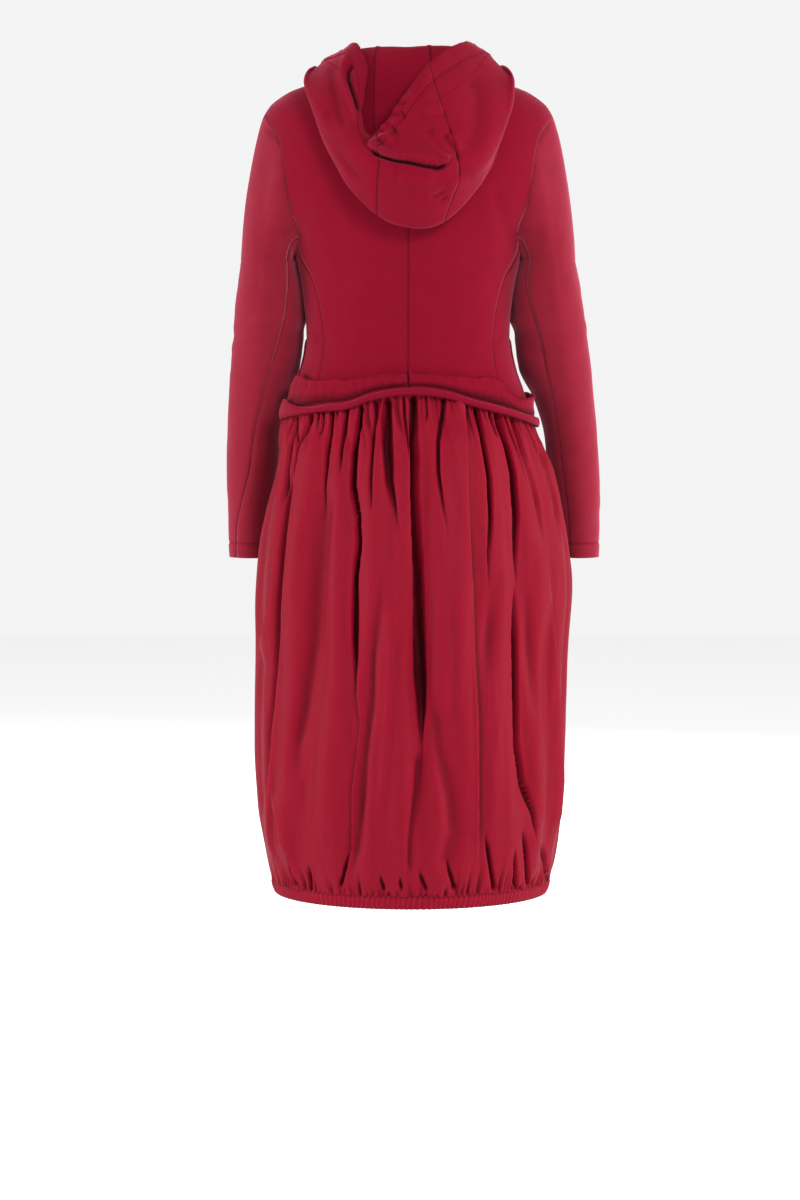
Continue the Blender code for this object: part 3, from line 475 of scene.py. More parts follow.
def smoothNoise(p, size, shift=0.0):
    # Soft noise from -1 to 1; size is the wrinkles' size along each axis.
    q = p / np.asarray(size) + shift * np.array([3.7, 5.1, 7.3])
    cell = np.floor(q).astype(int)
    f = q - cell
    f = f * f * (3 - 2 * f)
    total = 0
    for corner in np.ndindex(2, 2, 2):
        share = np.where(corner, f, 1 - f).prod(axis=-1)
        total = total + share * noiseTable[tuple(np.moveaxis((cell + corner) % noiseCells, -1, 0))]
    return total


def photoSpot(p):
    # Where a point shows in the camera's 800 x 1200 frame.
    place = np.array(view["place"])
    ahead = np.array(view["look"]) - place
    ahead /= np.linalg.norm(ahead)
    up = np.array([0, ahead[2], -ahead[1]])
    wide, high = view["pixels"]
    focal = view["lens"] / view["sensor"] * high
    d = p - place
    depth = d @ ahead
    return np.stack([wide / 2 - focal * d[..., 0] / depth, high / 2 - focal * (d @ up) / depth], -1)


# A crease's kind, its width in pixels, its height in metres (below zero is a valley), how far it fades in from
# each end of its line, and the line, both in pixels.
creaseColumns = ("kind", "width", "height", "start", "end", "line")


def creaseHeight(spot, rows):
    total = np.zeros(spot.shape[:-1])
    for row in rows:
        crease = dict(zip(creaseColumns, row))
        line = np.array(crease["line"], float)
        nearest = np.full(total.shape, 1e9)
        signed = np.zeros(total.shape)
        along = np.zeros(total.shape)
        walked = 0.0
        for a, b in zip(line[:-1], line[1:]):
            step = b - a
            length = np.hypot(*step)
            off = spot - a
            share = (off @ step) / length**2
            t = np.clip(share, 0, 1)
            away = np.hypot(*np.moveaxis(off - t[..., None] * step, -1, 0))
            side = (step[0] * off[..., 1] - step[1] * off[..., 0]) / length
            closer = away < nearest
            nearest = np.where(closer, away, nearest)
            signed = np.where(closer, np.where(side < 0, away, -away), signed)
            along = np.where(closer, walked + share * length, along)
            walked += length
        fade = ease(along / crease["start"]) * ease((walked - along) / crease["end"])
        if crease["kind"] == "fold":
            near = nearest / crease["width"]
            shape = 0.72 * bell(near, 0, 1) + 0.28 * bell(near, 0, 2.6)
        elif crease["kind"] == "slot":
            # A deep narrow slit with rounded lips.
            near = nearest / (crease["width"] * (0.25 + 0.75 * fade))
            shape = np.clip(1 - near, 0, 1) ** 0.7 * 0.85 + 0.15 * bell(near, 0, 3)
        else:
            # A step that stands up on one side of the line: "east" and "west" as seen going down the line.
            away = signed if crease["kind"] == "east" else -signed
            shape = ease((away + 0.5) / 1.2) * np.exp(-np.clip(away, 0, None) / crease["width"])
        total += crease["height"] * fade * shape
    return total


# The skirt's back: folds from the waist, long folds lower down, and short ones at the hem.
skirtCreases = [
    ("slot", 4.6, -0.026, 6, 90, [(413.5, 392), (414, 420), (415.6, 450), (415.5, 489), (417, 531), (419, 577),
     (419.6, 640), (420.4, 700), (420.5, 765)]),
    ("slot", 5.4, -0.022, 6, 110, [(388, 395), (386, 415), (387, 440), (389, 480), (396, 517), (404, 548)]),
    ("slot", 3.0, -0.020, 5, 70, [(361, 402), (357, 425), (354.2, 450), (352.5, 485), (357, 517), (358, 544),
     (355, 577), (354.5, 640), (356, 700)]),
    ("slot", 2.8, -0.015, 5, 90, [(331.5, 406), (330.5, 425), (328, 450), (325, 490), (321, 530)]),
    ("slot", 3.2, -0.018, 5, 120, [(475, 399), (481, 425), (485, 445), (490, 475), (491, 517), (488, 554),
     (489, 600)]),
    ("slot", 3.8, -0.020, 5, 110, [(497, 406), (503, 425), (508, 445), (514, 471), (516.7, 512), (515, 560),
     (516, 600)]),
    ("slot", 2.8, -0.016, 5, 50, [(513, 410), (519, 430), (523.5, 445), (531.6, 469), (538.5, 499),
     (545, 548)]),
    ("slot", 2.6, -0.012, 5, 40, [(536, 416), (541, 440), (548, 470), (556, 500), (562, 550)]),
    ("slot", 2.4, -0.012, 5, 30, [(312, 410), (306, 425), (301, 446), (296, 480), (292, 520)]),
    ("slot", 2.0, -0.009, 5, 26, [(297, 412), (293, 440), (288, 470), (283, 510)]),
    ("slot", 2.2, -0.010, 4, 30, [(347, 404), (345, 422), (341, 450), (340, 480)]),
    ("slot", 2.2, -0.009, 4, 40, [(375, 398), (376, 415), (372, 440), (370, 480), (372, 520)]),
    ("slot", 2.0, -0.010, 4, 20, [(403, 393), (405, 415), (409, 440), (410, 460)]),
    ("slot", 2.6, -0.014, 4, 90, [(446, 394), (442, 420), (438, 440), (438, 470), (443, 505), (450, 545)]),
    ("slot", 1.8, -0.007, 4, 10, [(426, 392), (427, 410), (426, 424)]),
    ("slot", 1.8, -0.006, 4, 10, [(323, 408), (322, 426), (319, 440)]),
    ("slot", 1.8, -0.007, 4, 12, [(488, 403), (495, 424), (500, 440)]),
    ("west", 15.0, 0.0075, 6, 60, [(466, 397), (466, 440), (466.5, 480), (469.6, 545), (472, 600), (475, 666),
     (478, 720), (478.6, 790), (479, 880)]),
    ("fold", 7.5, -0.011, 40, 70, [(327, 480), (317, 577), (314.6, 640), (306, 700), (297, 745), (293, 800)]),
    ("fold", 6.0, -0.012, 50, 40, [(378, 610), (372, 660), (369, 712), (363, 755), (360, 800), (354, 850),
     (350, 885)]),
    ("east", 8.0, 0.006, 30, 20, [(356, 660), (357.5, 700), (360, 720), (352, 790), (350, 850), (343, 880)]),
    ("fold", 6.0, -0.008, 80, 60, [(382, 560), (378, 610), (374, 660)]),
    ("east", 22.0, 0.010, 30, 24, [(304, 425), (297, 485), (289.4, 561), (283.6, 640), (275.3, 716),
     (270.5, 780), (270, 830), (277, 866)]),
    ("east", 9.0, 0.007, 20, 20, [(289, 420), (281, 471), (275, 540), (271.6, 600), (264, 632), (259, 665)]),
    ("fold", 3.0, -0.008, 20, 30, [(292, 470), (284, 545), (278.4, 620), (274, 690), (268, 750), (265, 820)]),
    ("fold", 7.0, -0.008, 80, 60, [(497, 560), (492, 610), (488, 650), (487, 700)]),
    ("slot", 3.4, -0.016, 80, 60, [(513.5, 570), (515.5, 640), (516, 689), (517, 745), (523, 784), (533, 812),
     (538, 850)]),
    ("fold", 6.0, -0.009, 90, 80, [(524, 570), (528, 620), (533, 680), (540, 740)]),
    ("west", 12.0, 0.008, 30, 30, [(541, 540), (549, 600), (554, 640), (558, 712), (559.4, 781), (556, 840)]),
    ("fold", 9.0, -0.010, 40, 30, [(430, 690), (440, 750), (452, 800), (456, 835), (447, 860), (443, 885)]),
    ("fold", 3.0, -0.006, 20, 20, [(420, 745), (417, 790), (411, 840), (409, 880)]),
    ("fold", 5.0, 0.004, 30, 40, [(392, 600), (390, 680), (384, 760), (378, 830)]),
    ("fold", 7.0, 0.004, 40, 60, [(460, 560), (462, 640), (466, 720), (466, 800)]),
    ("east", 6.0, 0.007, 16, 14, [(272, 788), (280, 808), (286, 838), (291, 862), (297, 886)]),
    ("slot", 2.2, -0.010, 16, 4, [(309, 862), (309, 876), (311, 893)]),
    ("slot", 2.4, -0.010, 24, 4, [(352, 848), (346, 864), (339, 889)]),
    ("slot", 2.2, -0.009, 14, 4, [(419, 868), (421, 878), (427, 893)]),
    ("slot", 2.4, -0.011, 24, 4, [(447, 856), (450, 872), (456, 893)]),
    ("slot", 2.6, -0.013, 26, 4, [(484, 830), (489, 852), (496, 893)]),
    ("slot", 2.2, -0.012, 20, 4, [(515, 846), (516, 866), (517, 893)]),
    ("slot", 2.6, -0.014, 24, 4, [(521, 826), (526, 846), (529, 888)]),
    ("slot", 2.4, -0.009, 16, 4, [(541, 840), (545, 858), (549, 884)]),
    ("slot", 2.2, -0.009, 16, 4, [(288, 858), (291, 872), (296, 888)]),
    ("slot", 2.0, -0.008, 12, 4, [(380, 872), (381, 882), (384, 893)]),
    ("slot", 2.0, -0.008, 12, 4, [(400, 874), (400, 884), (402, 893)]),
]
bodiceCreases = [
    ("fold", 7.0, -0.0022, 20, 20, [(496, 180), (500, 205), (508, 228), (512, 250)]),
    ("fold", 9.0, 0.0018, 20, 30, [(484, 200), (490, 230), (492, 262)]),
    ("fold", 10.0, -0.0015, 20, 30, [(345, 250), (338, 290), (332, 330)]),
    ("fold", 6.0, -0.0018, 12, 16, [(309, 332), (322, 342), (338, 346)]),
    ("fold", 5.0, -0.0015, 10, 14, [(508, 330), (496, 341), (482, 346)]),
    ("fold", 8.0, 0.0015, 20, 20, [(316, 190), (312, 225), (314, 258)]),
    ("fold", 5.0, -0.0012, 16, 20, [(512, 300), (500, 312), (480, 322)]),
]
sleeveCreases = [
    ("fold", 3.0, -0.0025, 8, 12, [(264, 126), (274, 136), (286, 148)]),
    ("fold", 6.0, -0.0020, 20, 30, [(268, 150), (262, 200), (257, 260), (254, 310)]),
    ("fold", 7.0, 0.0016, 20, 30, [(281, 160), (279, 220), (280, 280)]),
    ("fold", 6.0, -0.0022, 16, 20, [(301, 300), (286, 318), (268, 326)]),
    ("fold", 6.0, -0.0016, 16, 20, [(298, 330), (280, 346), (256, 352)]),
    ("fold", 8.0, 0.0018, 30, 30, [(262, 380), (254, 440), (246, 500)]),
    ("fold", 6.0, -0.0018, 20, 20, [(250, 470), (264, 492), (274, 500)]),
    ("fold", 3.0, -0.0025, 8, 12, [(553, 120), (543, 132), (534, 146)]),
    ("fold", 6.0, -0.0020, 20, 30, [(546, 150), (553, 200), (560, 260), (564, 310)]),
    ("fold", 7.0, 0.0016, 20, 30, [(531, 170), (531, 230), (528, 280)]),
    ("fold", 6.0, -0.0020, 16, 20, [(518, 300), (532, 318), (550, 326)]),
    ("fold", 6.0, -0.0016, 16, 20, [(522, 334), (540, 350), (562, 356)]),
    ("fold", 8.0, 0.0016, 30, 30, [(572, 390), (580, 440), (586, 500)]),
    ("fold", 6.0, -0.0018, 20, 20, [(576, 480), (562, 500), (552, 508)]),
]
# On the hood's outer wall: the tuck at the left, the flap's shadow line, and soft wrinkles.
hoodCreases = [
    ("fold", 3.0, 0.0040, 6, 16, [(349, 52), (343, 64), (342, 74), (347, 92), (354, 110), (360, 128)]),
    ("slot", 2.6, -0.0100, 6, 12, [(353, 62), (348, 70), (348, 78), (352, 90), (357, 104), (360, 116)]),
    ("fold", 5.0, -0.0030, 10, 14, [(331, 62), (332, 84), (338, 110), (346, 132)]),
    ("east", 9.0, 0.0105, 4, 7, [(366, 146), (374, 150), (384, 155), (395, 158), (410, 160), (424, 163),
     (438, 165), (447, 162), (452, 155)]),
    ("slot", 3.0, -0.0090, 4, 8, [(371, 151), (384, 157), (396, 160.5), (410, 162.5), (424, 166), (438, 168),
     (448, 165)]),
    ("fold", 3.4, 0.0026, 8, 8, [(420, 113), (434, 109), (446, 111)]),
    ("slot", 2.2, -0.0034, 4, 8, [(401, 108), (405, 116), (408, 122)]),
    ("slot", 2.2, -0.0034, 4, 8, [(391, 124), (396, 132), (400, 138)]),
    ("fold", 2.4, 0.0040, 3, 6, [(384, 132), (390, 140), (394, 146)]),
    ("slot", 2.2, -0.0034, 4, 6, [(378, 138), (383, 145), (386, 150)]),
    ("fold", 4.0, -0.0022, 8, 12, [(428, 124), (431, 134), (428, 142)]),
    ("fold", 3.0, -0.0030, 6, 8, [(443, 132), (449, 141), (456, 152), (459, 164)]),
    ("fold", 3.0, 0.0026, 6, 8, [(449, 132), (455, 142), (461, 154)]),
    ("fold", 3.0, -0.0030, 8, 8, [(428, 199), (438, 195), (448, 190)]),
    ("fold", 2.2, -0.0028, 4, 6, [(438, 203), (444, 199), (450, 194)]),
    ("fold", 6.0, 0.0026, 8, 12, [(446, 188), (458, 182), (470, 172)]),
    ("fold", 9.0, -0.0036, 20, 20, [(322, 96), (328, 126), (342, 160), (362, 192)]),
    ("fold", 9.0, 0.0030, 20, 20, [(492, 84), (495, 116), (486, 150), (470, 180)]),
    ("fold", 8.0, -0.0030, 16, 20, [(470, 70), (478, 100), (476, 134), (468, 160)]),
    ("slot", 2.4, -0.0050, 3, 5, [(381, 213), (386, 216), (393, 214)]),
    ("fold", 5.0, 0.0030, 8, 12, [(396, 176), (420, 180), (440, 176)]),
]


def gathers(degrees, distance, seam):
    # Uneven small pleats that leave a gathered seam; distance is how far each point lies from it.
    count = seam["count"]
    random = np.random.default_rng(seam["seed"])
    where = (np.arange(count) + random.uniform(-0.35, 0.35, count)) * 360 / count
    deep = seam["depth"] * random.uniform(0.35, 1.25, count)
    wide = seam["width"] * random.uniform(0.7, 1.4, count)
    far = seam["reach"] * random.uniform(0.35, 1.7, count) ** 1.5
    lean = random.uniform(-14, 14, count)
    total = np.zeros(degrees.shape)
    for k in range(count):
        off = ((degrees - where[k] - lean[k] * distance + 180) % 360 - 180) / 360 * seam["girth"]
        spread = wide[k] * (1 + 6 * distance)
        total -= deep[k] * bell(off, 0, spread) * bell(distance, 0, far[k])
    return total


# Making meshes.
def gridNormals(grid, closed):
    across = np.roll(grid, -1, 1) - np.roll(grid, 1, 1) if closed else np.gradient(grid, axis=1)
    normal = np.cross(across, np.gradient(grid, axis=0))
    return normal / np.maximum(np.linalg.norm(normal, axis=-1), 1e-12)[..., None]


def gridReach(grid):
    # How far each point lies along its row and its column, in metres.
    across = np.linalg.norm(np.diff(grid, axis=1), axis=-1).mean(axis=0)
    down = np.linalg.norm(np.diff(grid, axis=0), axis=-1).mean(axis=1)
    return np.concatenate([[0], np.cumsum(across)]), np.concatenate([[0], np.cumsum(down)])


def edgeDistance(grid, edge):
    # How far each point lies from the grid's left, right, first or last edge.
    axis = 1 if edge in ("left", "right") else 0
    steps = np.linalg.norm(np.diff(grid, axis=axis), axis=-1)
    reach = np.concatenate([0 * np.take(steps, [0], axis), np.cumsum(steps, axis=axis)], axis=axis)
    return reach if edge in ("left", "first") else np.take(reach, [-1], axis) - reach


def addObject(name, mesh):
    obj = bpy.data.objects.new(name, mesh)
    bpy.context.scene.collection.objects.link(obj)
    return obj


def blurred(values, halves):
    # A running mean over a window of rows and columns.
    for axis, half in enumerate(halves):
        window = 2 * half + 1
        pads = [(half + 1, half) if axis == k else (0, 0) for k in (0, 1)]
        total = np.cumsum(np.pad(values, pads, mode="edge"), axis=axis)
        start = np.arange(values.shape[axis])
        values = (np.take(total, start + window, axis) - np.take(total, start, axis)) / window
    return values


def tuckUnder(grid, amount):
    # Runs the first row a little way under its neighbour, so that the seam shows no gap.
    step = grid[0] - grid[1]
    grid = grid.copy()
    grid[0] += step / np.linalg.norm(step, axis=-1)[..., None] * amount
    return grid


def seamDip(grid, edges, depth=0.0012, width=0.0028):
    total = np.zeros(grid.shape[:2])
    for edge in edges:
        total -= depth * bell(edgeDistance(grid, edge), 0, width)
    return total


def behind(grid):
    # 1 on the back of the garment, which the camera sees, and 0 on its front.
    return ease((grid[..., 1] + 0.05) / 0.06)


# Painted shade: the valleys of the creases and the seams are painted darker, and the ridges get a painted
# highlight. Depths and widths are in metres.
shading = {"window": 0.007, "depth": 0.0035, "paintedHighlight": 0.14, "valley": 0.72, "seam": 0.36, "seamWidth": 0.0020}
shells = {}


# Painted shade along a seam.
def seamShade(grid, edge):
    return shading["seam"] * bell(edgeDistance(grid, edge), 0, shading["seamWidth"])


# How much painted shade each point gets, from how far it dips below its neighbours and how near its seams lie;
# below zero it is a painted highlight.
def valleyShade(grid, height, piece, reaches):
    halves = [max(1, round(shading["window"] / (reach[-1] / (len(reach) - 1)))) for reach in reaches]
    dip = (blurred(height, halves) - height) / shading["depth"]
    shade = dip * piece.get("shadeGain", 1) + piece.get("shade", 0)
    # Painted shade along each of the piece's shaded seams.
    for edge in piece.get("seams", ()):
        shade = shade + seamShade(grid, edge)
    return np.clip(shade, -1, 1)


def addShell(name, grid, piece, lift, mirrored=False, closed=False):
    # The grid's own orientation is outwards; lift(grid) gives how far each point stands off it.
    side = -1 if mirrored else 1
    grid = grid * np.array([side, 1, 1])
    height = lift(grid)
    points = grid + gridNormals(grid, closed) * side * height[..., None]
    rows, columns = grid.shape[:2]
    span = columns if closed else columns - 1
    across, down = np.arange(span), np.arange(rows - 1)
    a = (down[:, None] * columns + across).ravel()
    b = (down[:, None] * columns + (across + 1) % columns).ravel()
    faces = np.stack([a, b, b + columns, a + columns], -1)
    u, v = gridReach(grid)
    # Painted shade in the valleys and along the seams, and painted highlight on the ridges.
    valley = valleyShade(grid, height, piece, (v, u))
    if closed:
        u = np.append(u, u[-1] + (u[-1] - u[-2]))
    corner = np.stack([
        np.stack(np.broadcast_arrays(u[c][None, :], v[r][:, None]), -1)
        for c, r in ((across, down), (across + 1, down), (across + 1, down + 1), (across, down + 1))
    ], axis=2).reshape(-1, 4, 2)
    if mirrored:
        faces, corner = faces[:, ::-1], corner[:, ::-1]
    mesh = bpy.data.meshes.new(name)
    mesh.from_pydata(points.reshape(-1, 3).tolist(), [], faces.tolist())
    layer = mesh.uv_layers.new(name="cloth")
    layer.data.foreach_set("uv", corner.astype(np.float32).ravel())
    mesh.shade_smooth()
    obj = addObject(name, mesh)
    layer = mesh.attributes.new("valley", "FLOAT", "POINT")
    layer.data.foreach_set("value", valley.astype(np.float32).ravel())
    thick = obj.modifiers.new("wall", "SOLIDIFY")
    thick.thickness = piece["wall"]
    thick.offset = -1
    thick.use_quality_normals = True
    mesh.materials.append(materials[piece.get("material", piece["slot"])])
    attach(obj, "root")
    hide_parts(name.replace("_cloth", ""))
    shells[name] = (points, gridNormals(points, closed) * side)
    print(f"{name}: {len(faces)} quads, {u[-1]:.3f} x {v[-1]:.3f} m")


# Materials.
def newTree(name, kind, inputs, outputs):
    # Sockets going in are (name, type, value), and those coming out are (name, type).
    tree = bpy.data.node_groups.new(name, kind)
    for way, sockets in (("INPUT", inputs), ("OUTPUT", outputs)):
        for socketName, socketType, *value in sockets:
            socket = tree.interface.new_socket(name=socketName, in_out=way, socket_type=socketType)
            if value:
                socket.default_value = value[0]
    return tree, tree.nodes.new("NodeGroupInput"), tree.nodes.new("NodeGroupOutput")


def addNode(tree, kind, inputs=None, **settings):
    node = tree.nodes.new(kind)
    for key, value in settings.items():
        setattr(node, key, value)
    for key, value in (inputs or {}).items():
        if isinstance(value, bpy.types.NodeSocket):
            tree.links.new(value, node.inputs[key])
        else:
            node.inputs[key].default_value = value
    return node


def addMath(tree, operation, a, b=0.0, c=None, clamp=False):
    inputs = {0: a, 1: b} if c is None else {0: a, 1: b, 2: c}
    return addNode(tree, "ShaderNodeMath", inputs, operation=operation, use_clamp=clamp).outputs[0]


def addNoise(tree, place, scale, detail, roughness, distortion=0.0):
    return addNode(tree, "ShaderNodeTexNoise", {
        "Vector": place, "Scale": scale, "Detail": detail, "Roughness": roughness, "Distortion": distortion,
    }).outputs["Fac"]


def clothPlace(tree):
    # The cloth's own map, its two parts, and the place on the garment.
    uv = addNode(tree, "ShaderNodeUVMap", uv_map="cloth").outputs["UV"]
    place = addNode(tree, "ShaderNodeTexCoord").outputs["Object"]
    split = addNode(tree, "ShaderNodeSeparateXYZ", {0: uv})
    return uv, split.outputs["X"], split.outputs["Y"], place


# Loops, threads and the scales of naps, mottles, crumples and streaks are counts a metre.
knit = {"loops": 1100.0, "nap": 900.0, "slant": 0.9, "loopHeight": 0.35, "mottle": 38.0}
weave = {"threads": 1500.0, "threadHeight": 0.5, "slub": 0.5, "streaks": ((900.0, 9.0, 1.0), (9.0, 900.0, 1.0)),
         "crumple": 75.0, "crumpleStretch": (1.0, 1.0, 0.35)}


def buildKnit():
    # Jersey: fine columns of loops with a brushed nap, as a height and two masks.
    tree, given, out = newTree(
        "brushedJersey", "ShaderNodeTree",
        [("Loops", "NodeSocketFloat", knit["loops"]), ("Nap", "NodeSocketFloat", knit["nap"])],
        [("Height", "NodeSocketFloat"), ("Nap", "NodeSocketFloat"), ("Mottle", "NodeSocketFloat")],
    )
    _, x, y, place = clothPlace(tree)
    turn = addMath(tree, "MULTIPLY", given.outputs["Loops"], 2 * pi)
    wale = addMath(tree, "SINE", addMath(tree, "MULTIPLY", x, turn))
    slant = addMath(tree, "MULTIPLY", addMath(tree, "ABSOLUTE", wale), knit["slant"])
    course = addMath(tree, "MULTIPLY_ADD", y, turn, slant)
    loops = addMath(tree, "MULTIPLY", addMath(tree, "SINE", course), addMath(tree, "ABSOLUTE", wale))
    nap = addNoise(tree, place, given.outputs["Nap"], 3.0, 0.7)
    mottle = addNoise(tree, place, knit["mottle"], 4.0, 0.6)
    height = addMath(tree, "ADD", addMath(tree, "MULTIPLY", loops, knit["loopHeight"]), nap)
    for key, value in (("Height", height), ("Nap", nap), ("Mottle", mottle)):
        tree.links.new(value, out.inputs[key])
    return tree


def buildWeave():
    # Plain weave: threads over and under, with thicker yarns running up and across.
    tree, given, out = newTree(
        "plainWeave", "ShaderNodeTree",
        [("Threads", "NodeSocketFloat", weave["threads"]), ("Slub", "NodeSocketFloat", weave["slub"])],
        [("Height", "NodeSocketFloat"), ("Slub", "NodeSocketFloat"), ("Crumple", "NodeSocketFloat")],
    )
    uv, x, y, place = clothPlace(tree)
    turn = addMath(tree, "MULTIPLY", given.outputs["Threads"], pi)
    warp = addMath(tree, "SINE", addMath(tree, "MULTIPLY", x, turn))
    weft = addMath(tree, "SINE", addMath(tree, "MULTIPLY", y, turn))
    crossing = addMath(tree, "MULTIPLY", warp, weft)
    streaks = []
    for scale in weave["streaks"]:
        stretched = addNode(tree, "ShaderNodeMapping", {"Vector": uv, "Scale": scale}).outputs["Vector"]
        streaks.append(addNoise(tree, stretched, 1.0, 2.0, 0.5))
    slub = addMath(tree, "MULTIPLY", addMath(tree, "ADD", *streaks), given.outputs["Slub"])
    stretch = {"Vector": place, "Scale": weave["crumpleStretch"]}
    tall = addNode(tree, "ShaderNodeMapping", stretch).outputs["Vector"]
    crumple = addNoise(tree, tall, weave["crumple"], 5.0, 0.62, 0.6)
    height = addMath(tree, "ADD", addMath(tree, "MULTIPLY", crossing, weave["threadHeight"]), slub)
    for key, value in (("Height", height), ("Slub", slub), ("Crumple", crumple)):
        tree.links.new(value, out.inputs[key])
    return tree


def newMaterial(name, look):
    material = bpy.data.materials.new(name)
    material.use_nodes = True
    tree = material.node_tree
    shader = tree.nodes["Principled BSDF"]
    for key, value in {
        "Roughness": look["roughness"], "Specular IOR Level": look["specular"], "Sheen Weight": look["sheen"],
        "Sheen Roughness": look["sheenRoughness"], "Sheen Tint": (*look["tint"], 1),
    }.items():
        shader.inputs[key].default_value = value
    return material, tree, shader


def blendColours(tree, shader, factor, dark, light):
    ramp = addNode(tree, "ShaderNodeMix", {0: factor, 6: (*dark, 1), 7: (*light, 1)}, data_type="RGBA")
    # Painted shade darkens the colour in the valleys and along the seams, and a painted highlight lightens it on
    # the ridges.
    valley = addNode(tree, "ShaderNodeAttribute", attribute_name="valley").outputs["Fac"]
    deep = addMath(tree, "MULTIPLY", valley, 1.0, clamp=True)
    high = addMath(tree, "MULTIPLY", valley, -1.0, clamp=True)
    lighter = addMath(tree, "MULTIPLY_ADD", high, shading["paintedHighlight"], 1.0)
    shade = addMath(tree, "SUBTRACT", lighter, addMath(tree, "MULTIPLY", deep, shading["valley"]))
    painted = addNode(tree, "ShaderNodeVectorMath", {0: ramp.outputs[2], "Scale": shade}, operation="SCALE")
    tree.links.new(painted.outputs[0], shader.inputs["Base Color"])


def addBump(tree, height, strength, distance, before=None):
    inputs = {"Height": height, "Strength": strength, "Distance": distance}
    if before:
        inputs["Normal"] = before
    return addNode(tree, "ShaderNodeBump", inputs).outputs["Normal"]


def makeCloth(name, cloth, look):
    material, tree, shader = newMaterial(name, look)
    group = addNode(tree, "ShaderNodeGroup", node_tree=cloth["group"])
    masks = [addMath(tree, "MULTIPLY", group.outputs[mask], share) for mask, share in cloth["tone"]]
    blendColours(tree, shader, addMath(tree, "ADD", *masks, clamp=True), look["dark"], look["light"])
    normal = None
    for height, strength, distance in cloth["bumps"]:
        normal = addBump(tree, group.outputs[height], strength, distance, normal)
    tree.links.new(normal, shader.inputs["Normal"])
    return material


def makeSmooth(name, look):
    material, tree, shader = newMaterial(name, look)
    place = addNode(tree, "ShaderNodeTexCoord").outputs["Object"]
    grain = addNoise(tree, place, look["grain"], 4.0, 0.6)
    darker = tuple(c * look["darker"] for c in look["colour"])
    blendColours(tree, shader, grain, darker, look["colour"])
    low, high = look["roughness"] - look["roughnessSpread"], look["roughness"] + look["roughnessSpread"]
    rough = addNode(tree, "ShaderNodeMapRange", {0: grain, 3: low, 4: high})
    tree.links.new(rough.outputs[0], shader.inputs["Roughness"])
    shader.inputs["Coat Weight"].default_value = look["coat"]
    tree.links.new(addBump(tree, grain, *look["bump"]), shader.inputs["Normal"])
    return material


jerseyLook = {"dark": (0.088, 0.0010, 0.0062), "light": (0.124, 0.0017, 0.0096), "roughness": 0.92,
              "sheen": 0.22, "sheenRoughness": 0.42, "specular": 0.03, "tint": (1.0, 0.24, 0.36)}
# The sleeves' jersey is painted lighter and pinker than the body's: a painted sheen for the light they catch on
# their sides.
sleevePaintedSheenLook = {**jerseyLook, "dark": (0.102, 0.0044, 0.0108), "light": (0.143, 0.0070, 0.0158), "sheen": 0.34}
wovenLook = {"dark": (0.098, 0.0008, 0.0060), "light": (0.150, 0.0014, 0.0096), "roughness": 0.62,
             "sheen": 0.06, "sheenRoughness": 0.30, "specular": 0.05, "tint": (1.0, 0.36, 0.50)}
tapeLook = {**wovenLook, "dark": (0.110, 0.0014, 0.0066), "light": (0.150, 0.0024, 0.0096)}
smoothLook = {"sheen": 0.0, "sheenRoughness": 0.5, "tint": (1, 1, 1), "coat": 0.0, "grain": 700.0,
              "darker": 0.8, "roughnessSpread": 0.08, "bump": (0.12, 0.0002)}
teethLook = {**smoothLook, "colour": (0.120, 0.0030, 0.0100), "roughness": 0.45, "specular": 0.2}
paintedLook = {**smoothLook, "colour": (0.130, 0.0032, 0.0105), "roughness": 0.36, "specular": 0.3,
               "coat": 0.15}
threadLook = {**smoothLook, "colour": (0.130, 0.0020, 0.0095), "roughness": 0.80, "specular": 0.03}

# Masks and their shares in the colour's tone, then each bump's height, strength and distance.
jerseyCloth = {"group": buildKnit(), "tone": (("Mottle", 0.55), ("Nap", 0.45)),
               "bumps": (("Height", 0.35, 0.0006),)}
wovenCloth = {"group": buildWeave(), "tone": (("Slub", 0.6), ("Crumple", 0.4)),
              "bumps": (("Crumple", 0.30, 0.0030), ("Height", 0.30, 0.0003))}
materials = {
    "jersey": makeCloth("jersey", jerseyCloth, jerseyLook),
    "sleeve": makeCloth("sleeve jersey", jerseyCloth, sleevePaintedSheenLook),
    "woven": makeCloth("woven", wovenCloth, wovenLook),
    "tape": makeCloth("zip tape", wovenCloth, tapeLook),
    "teeth": makeSmooth("zip teeth", teethLook),
    "painted_metal": makeSmooth("painted metal", paintedLook),
    "thread": makeSmooth("thread", threadLook),
}
print("materials made")

# Bodice. Each piece's flat is its cut's width and length, with its area where it isn't a rectangle.
bodice = {"slot": "jersey", "wall": 0.0016, "held": "hung"}
jerseyWrinkles = {"soft": 0.0011, "softSize": (0.055, 0.05, 0.07),
                  "fine": 0.00035, "fineSize": (0.018, 0.02, 0.026)}
bodicePieces = {
    # Each piece's shaded seams get painted shade along them.
    "back": {"rows": 150, "columns": 72, "dips": ("first", "right"), "seams": ("right", "left"),
             "flat": (0.20, 0.50, 0.080)},
    "side_back": {"rows": 90, "columns": 30, "dips": ("first", "last", "left", "right"),
                  "seams": ("first", "last", "left", "right"), "flat": (0.09, 0.25, 0.0155)},
    "front": {"rows": 130, "columns": 64, "dips": ("first", "last", "right"), "seams": ("last", "right"),
              "flat": (0.26, 0.50, 0.097)},
}
frontEdge = 0.0045   # from the middle to each front's edge


def jerseyLift(grid, dips, creases):
    soft = (jerseyWrinkles["soft"] * smoothNoise(grid, jerseyWrinkles["softSize"], 1.0)
            + jerseyWrinkles["fine"] * smoothNoise(grid, jerseyWrinkles["fineSize"], 2.0))
    return soft + creaseHeight(photoSpot(grid), creases) * behind(grid) + seamDip(grid, dips)


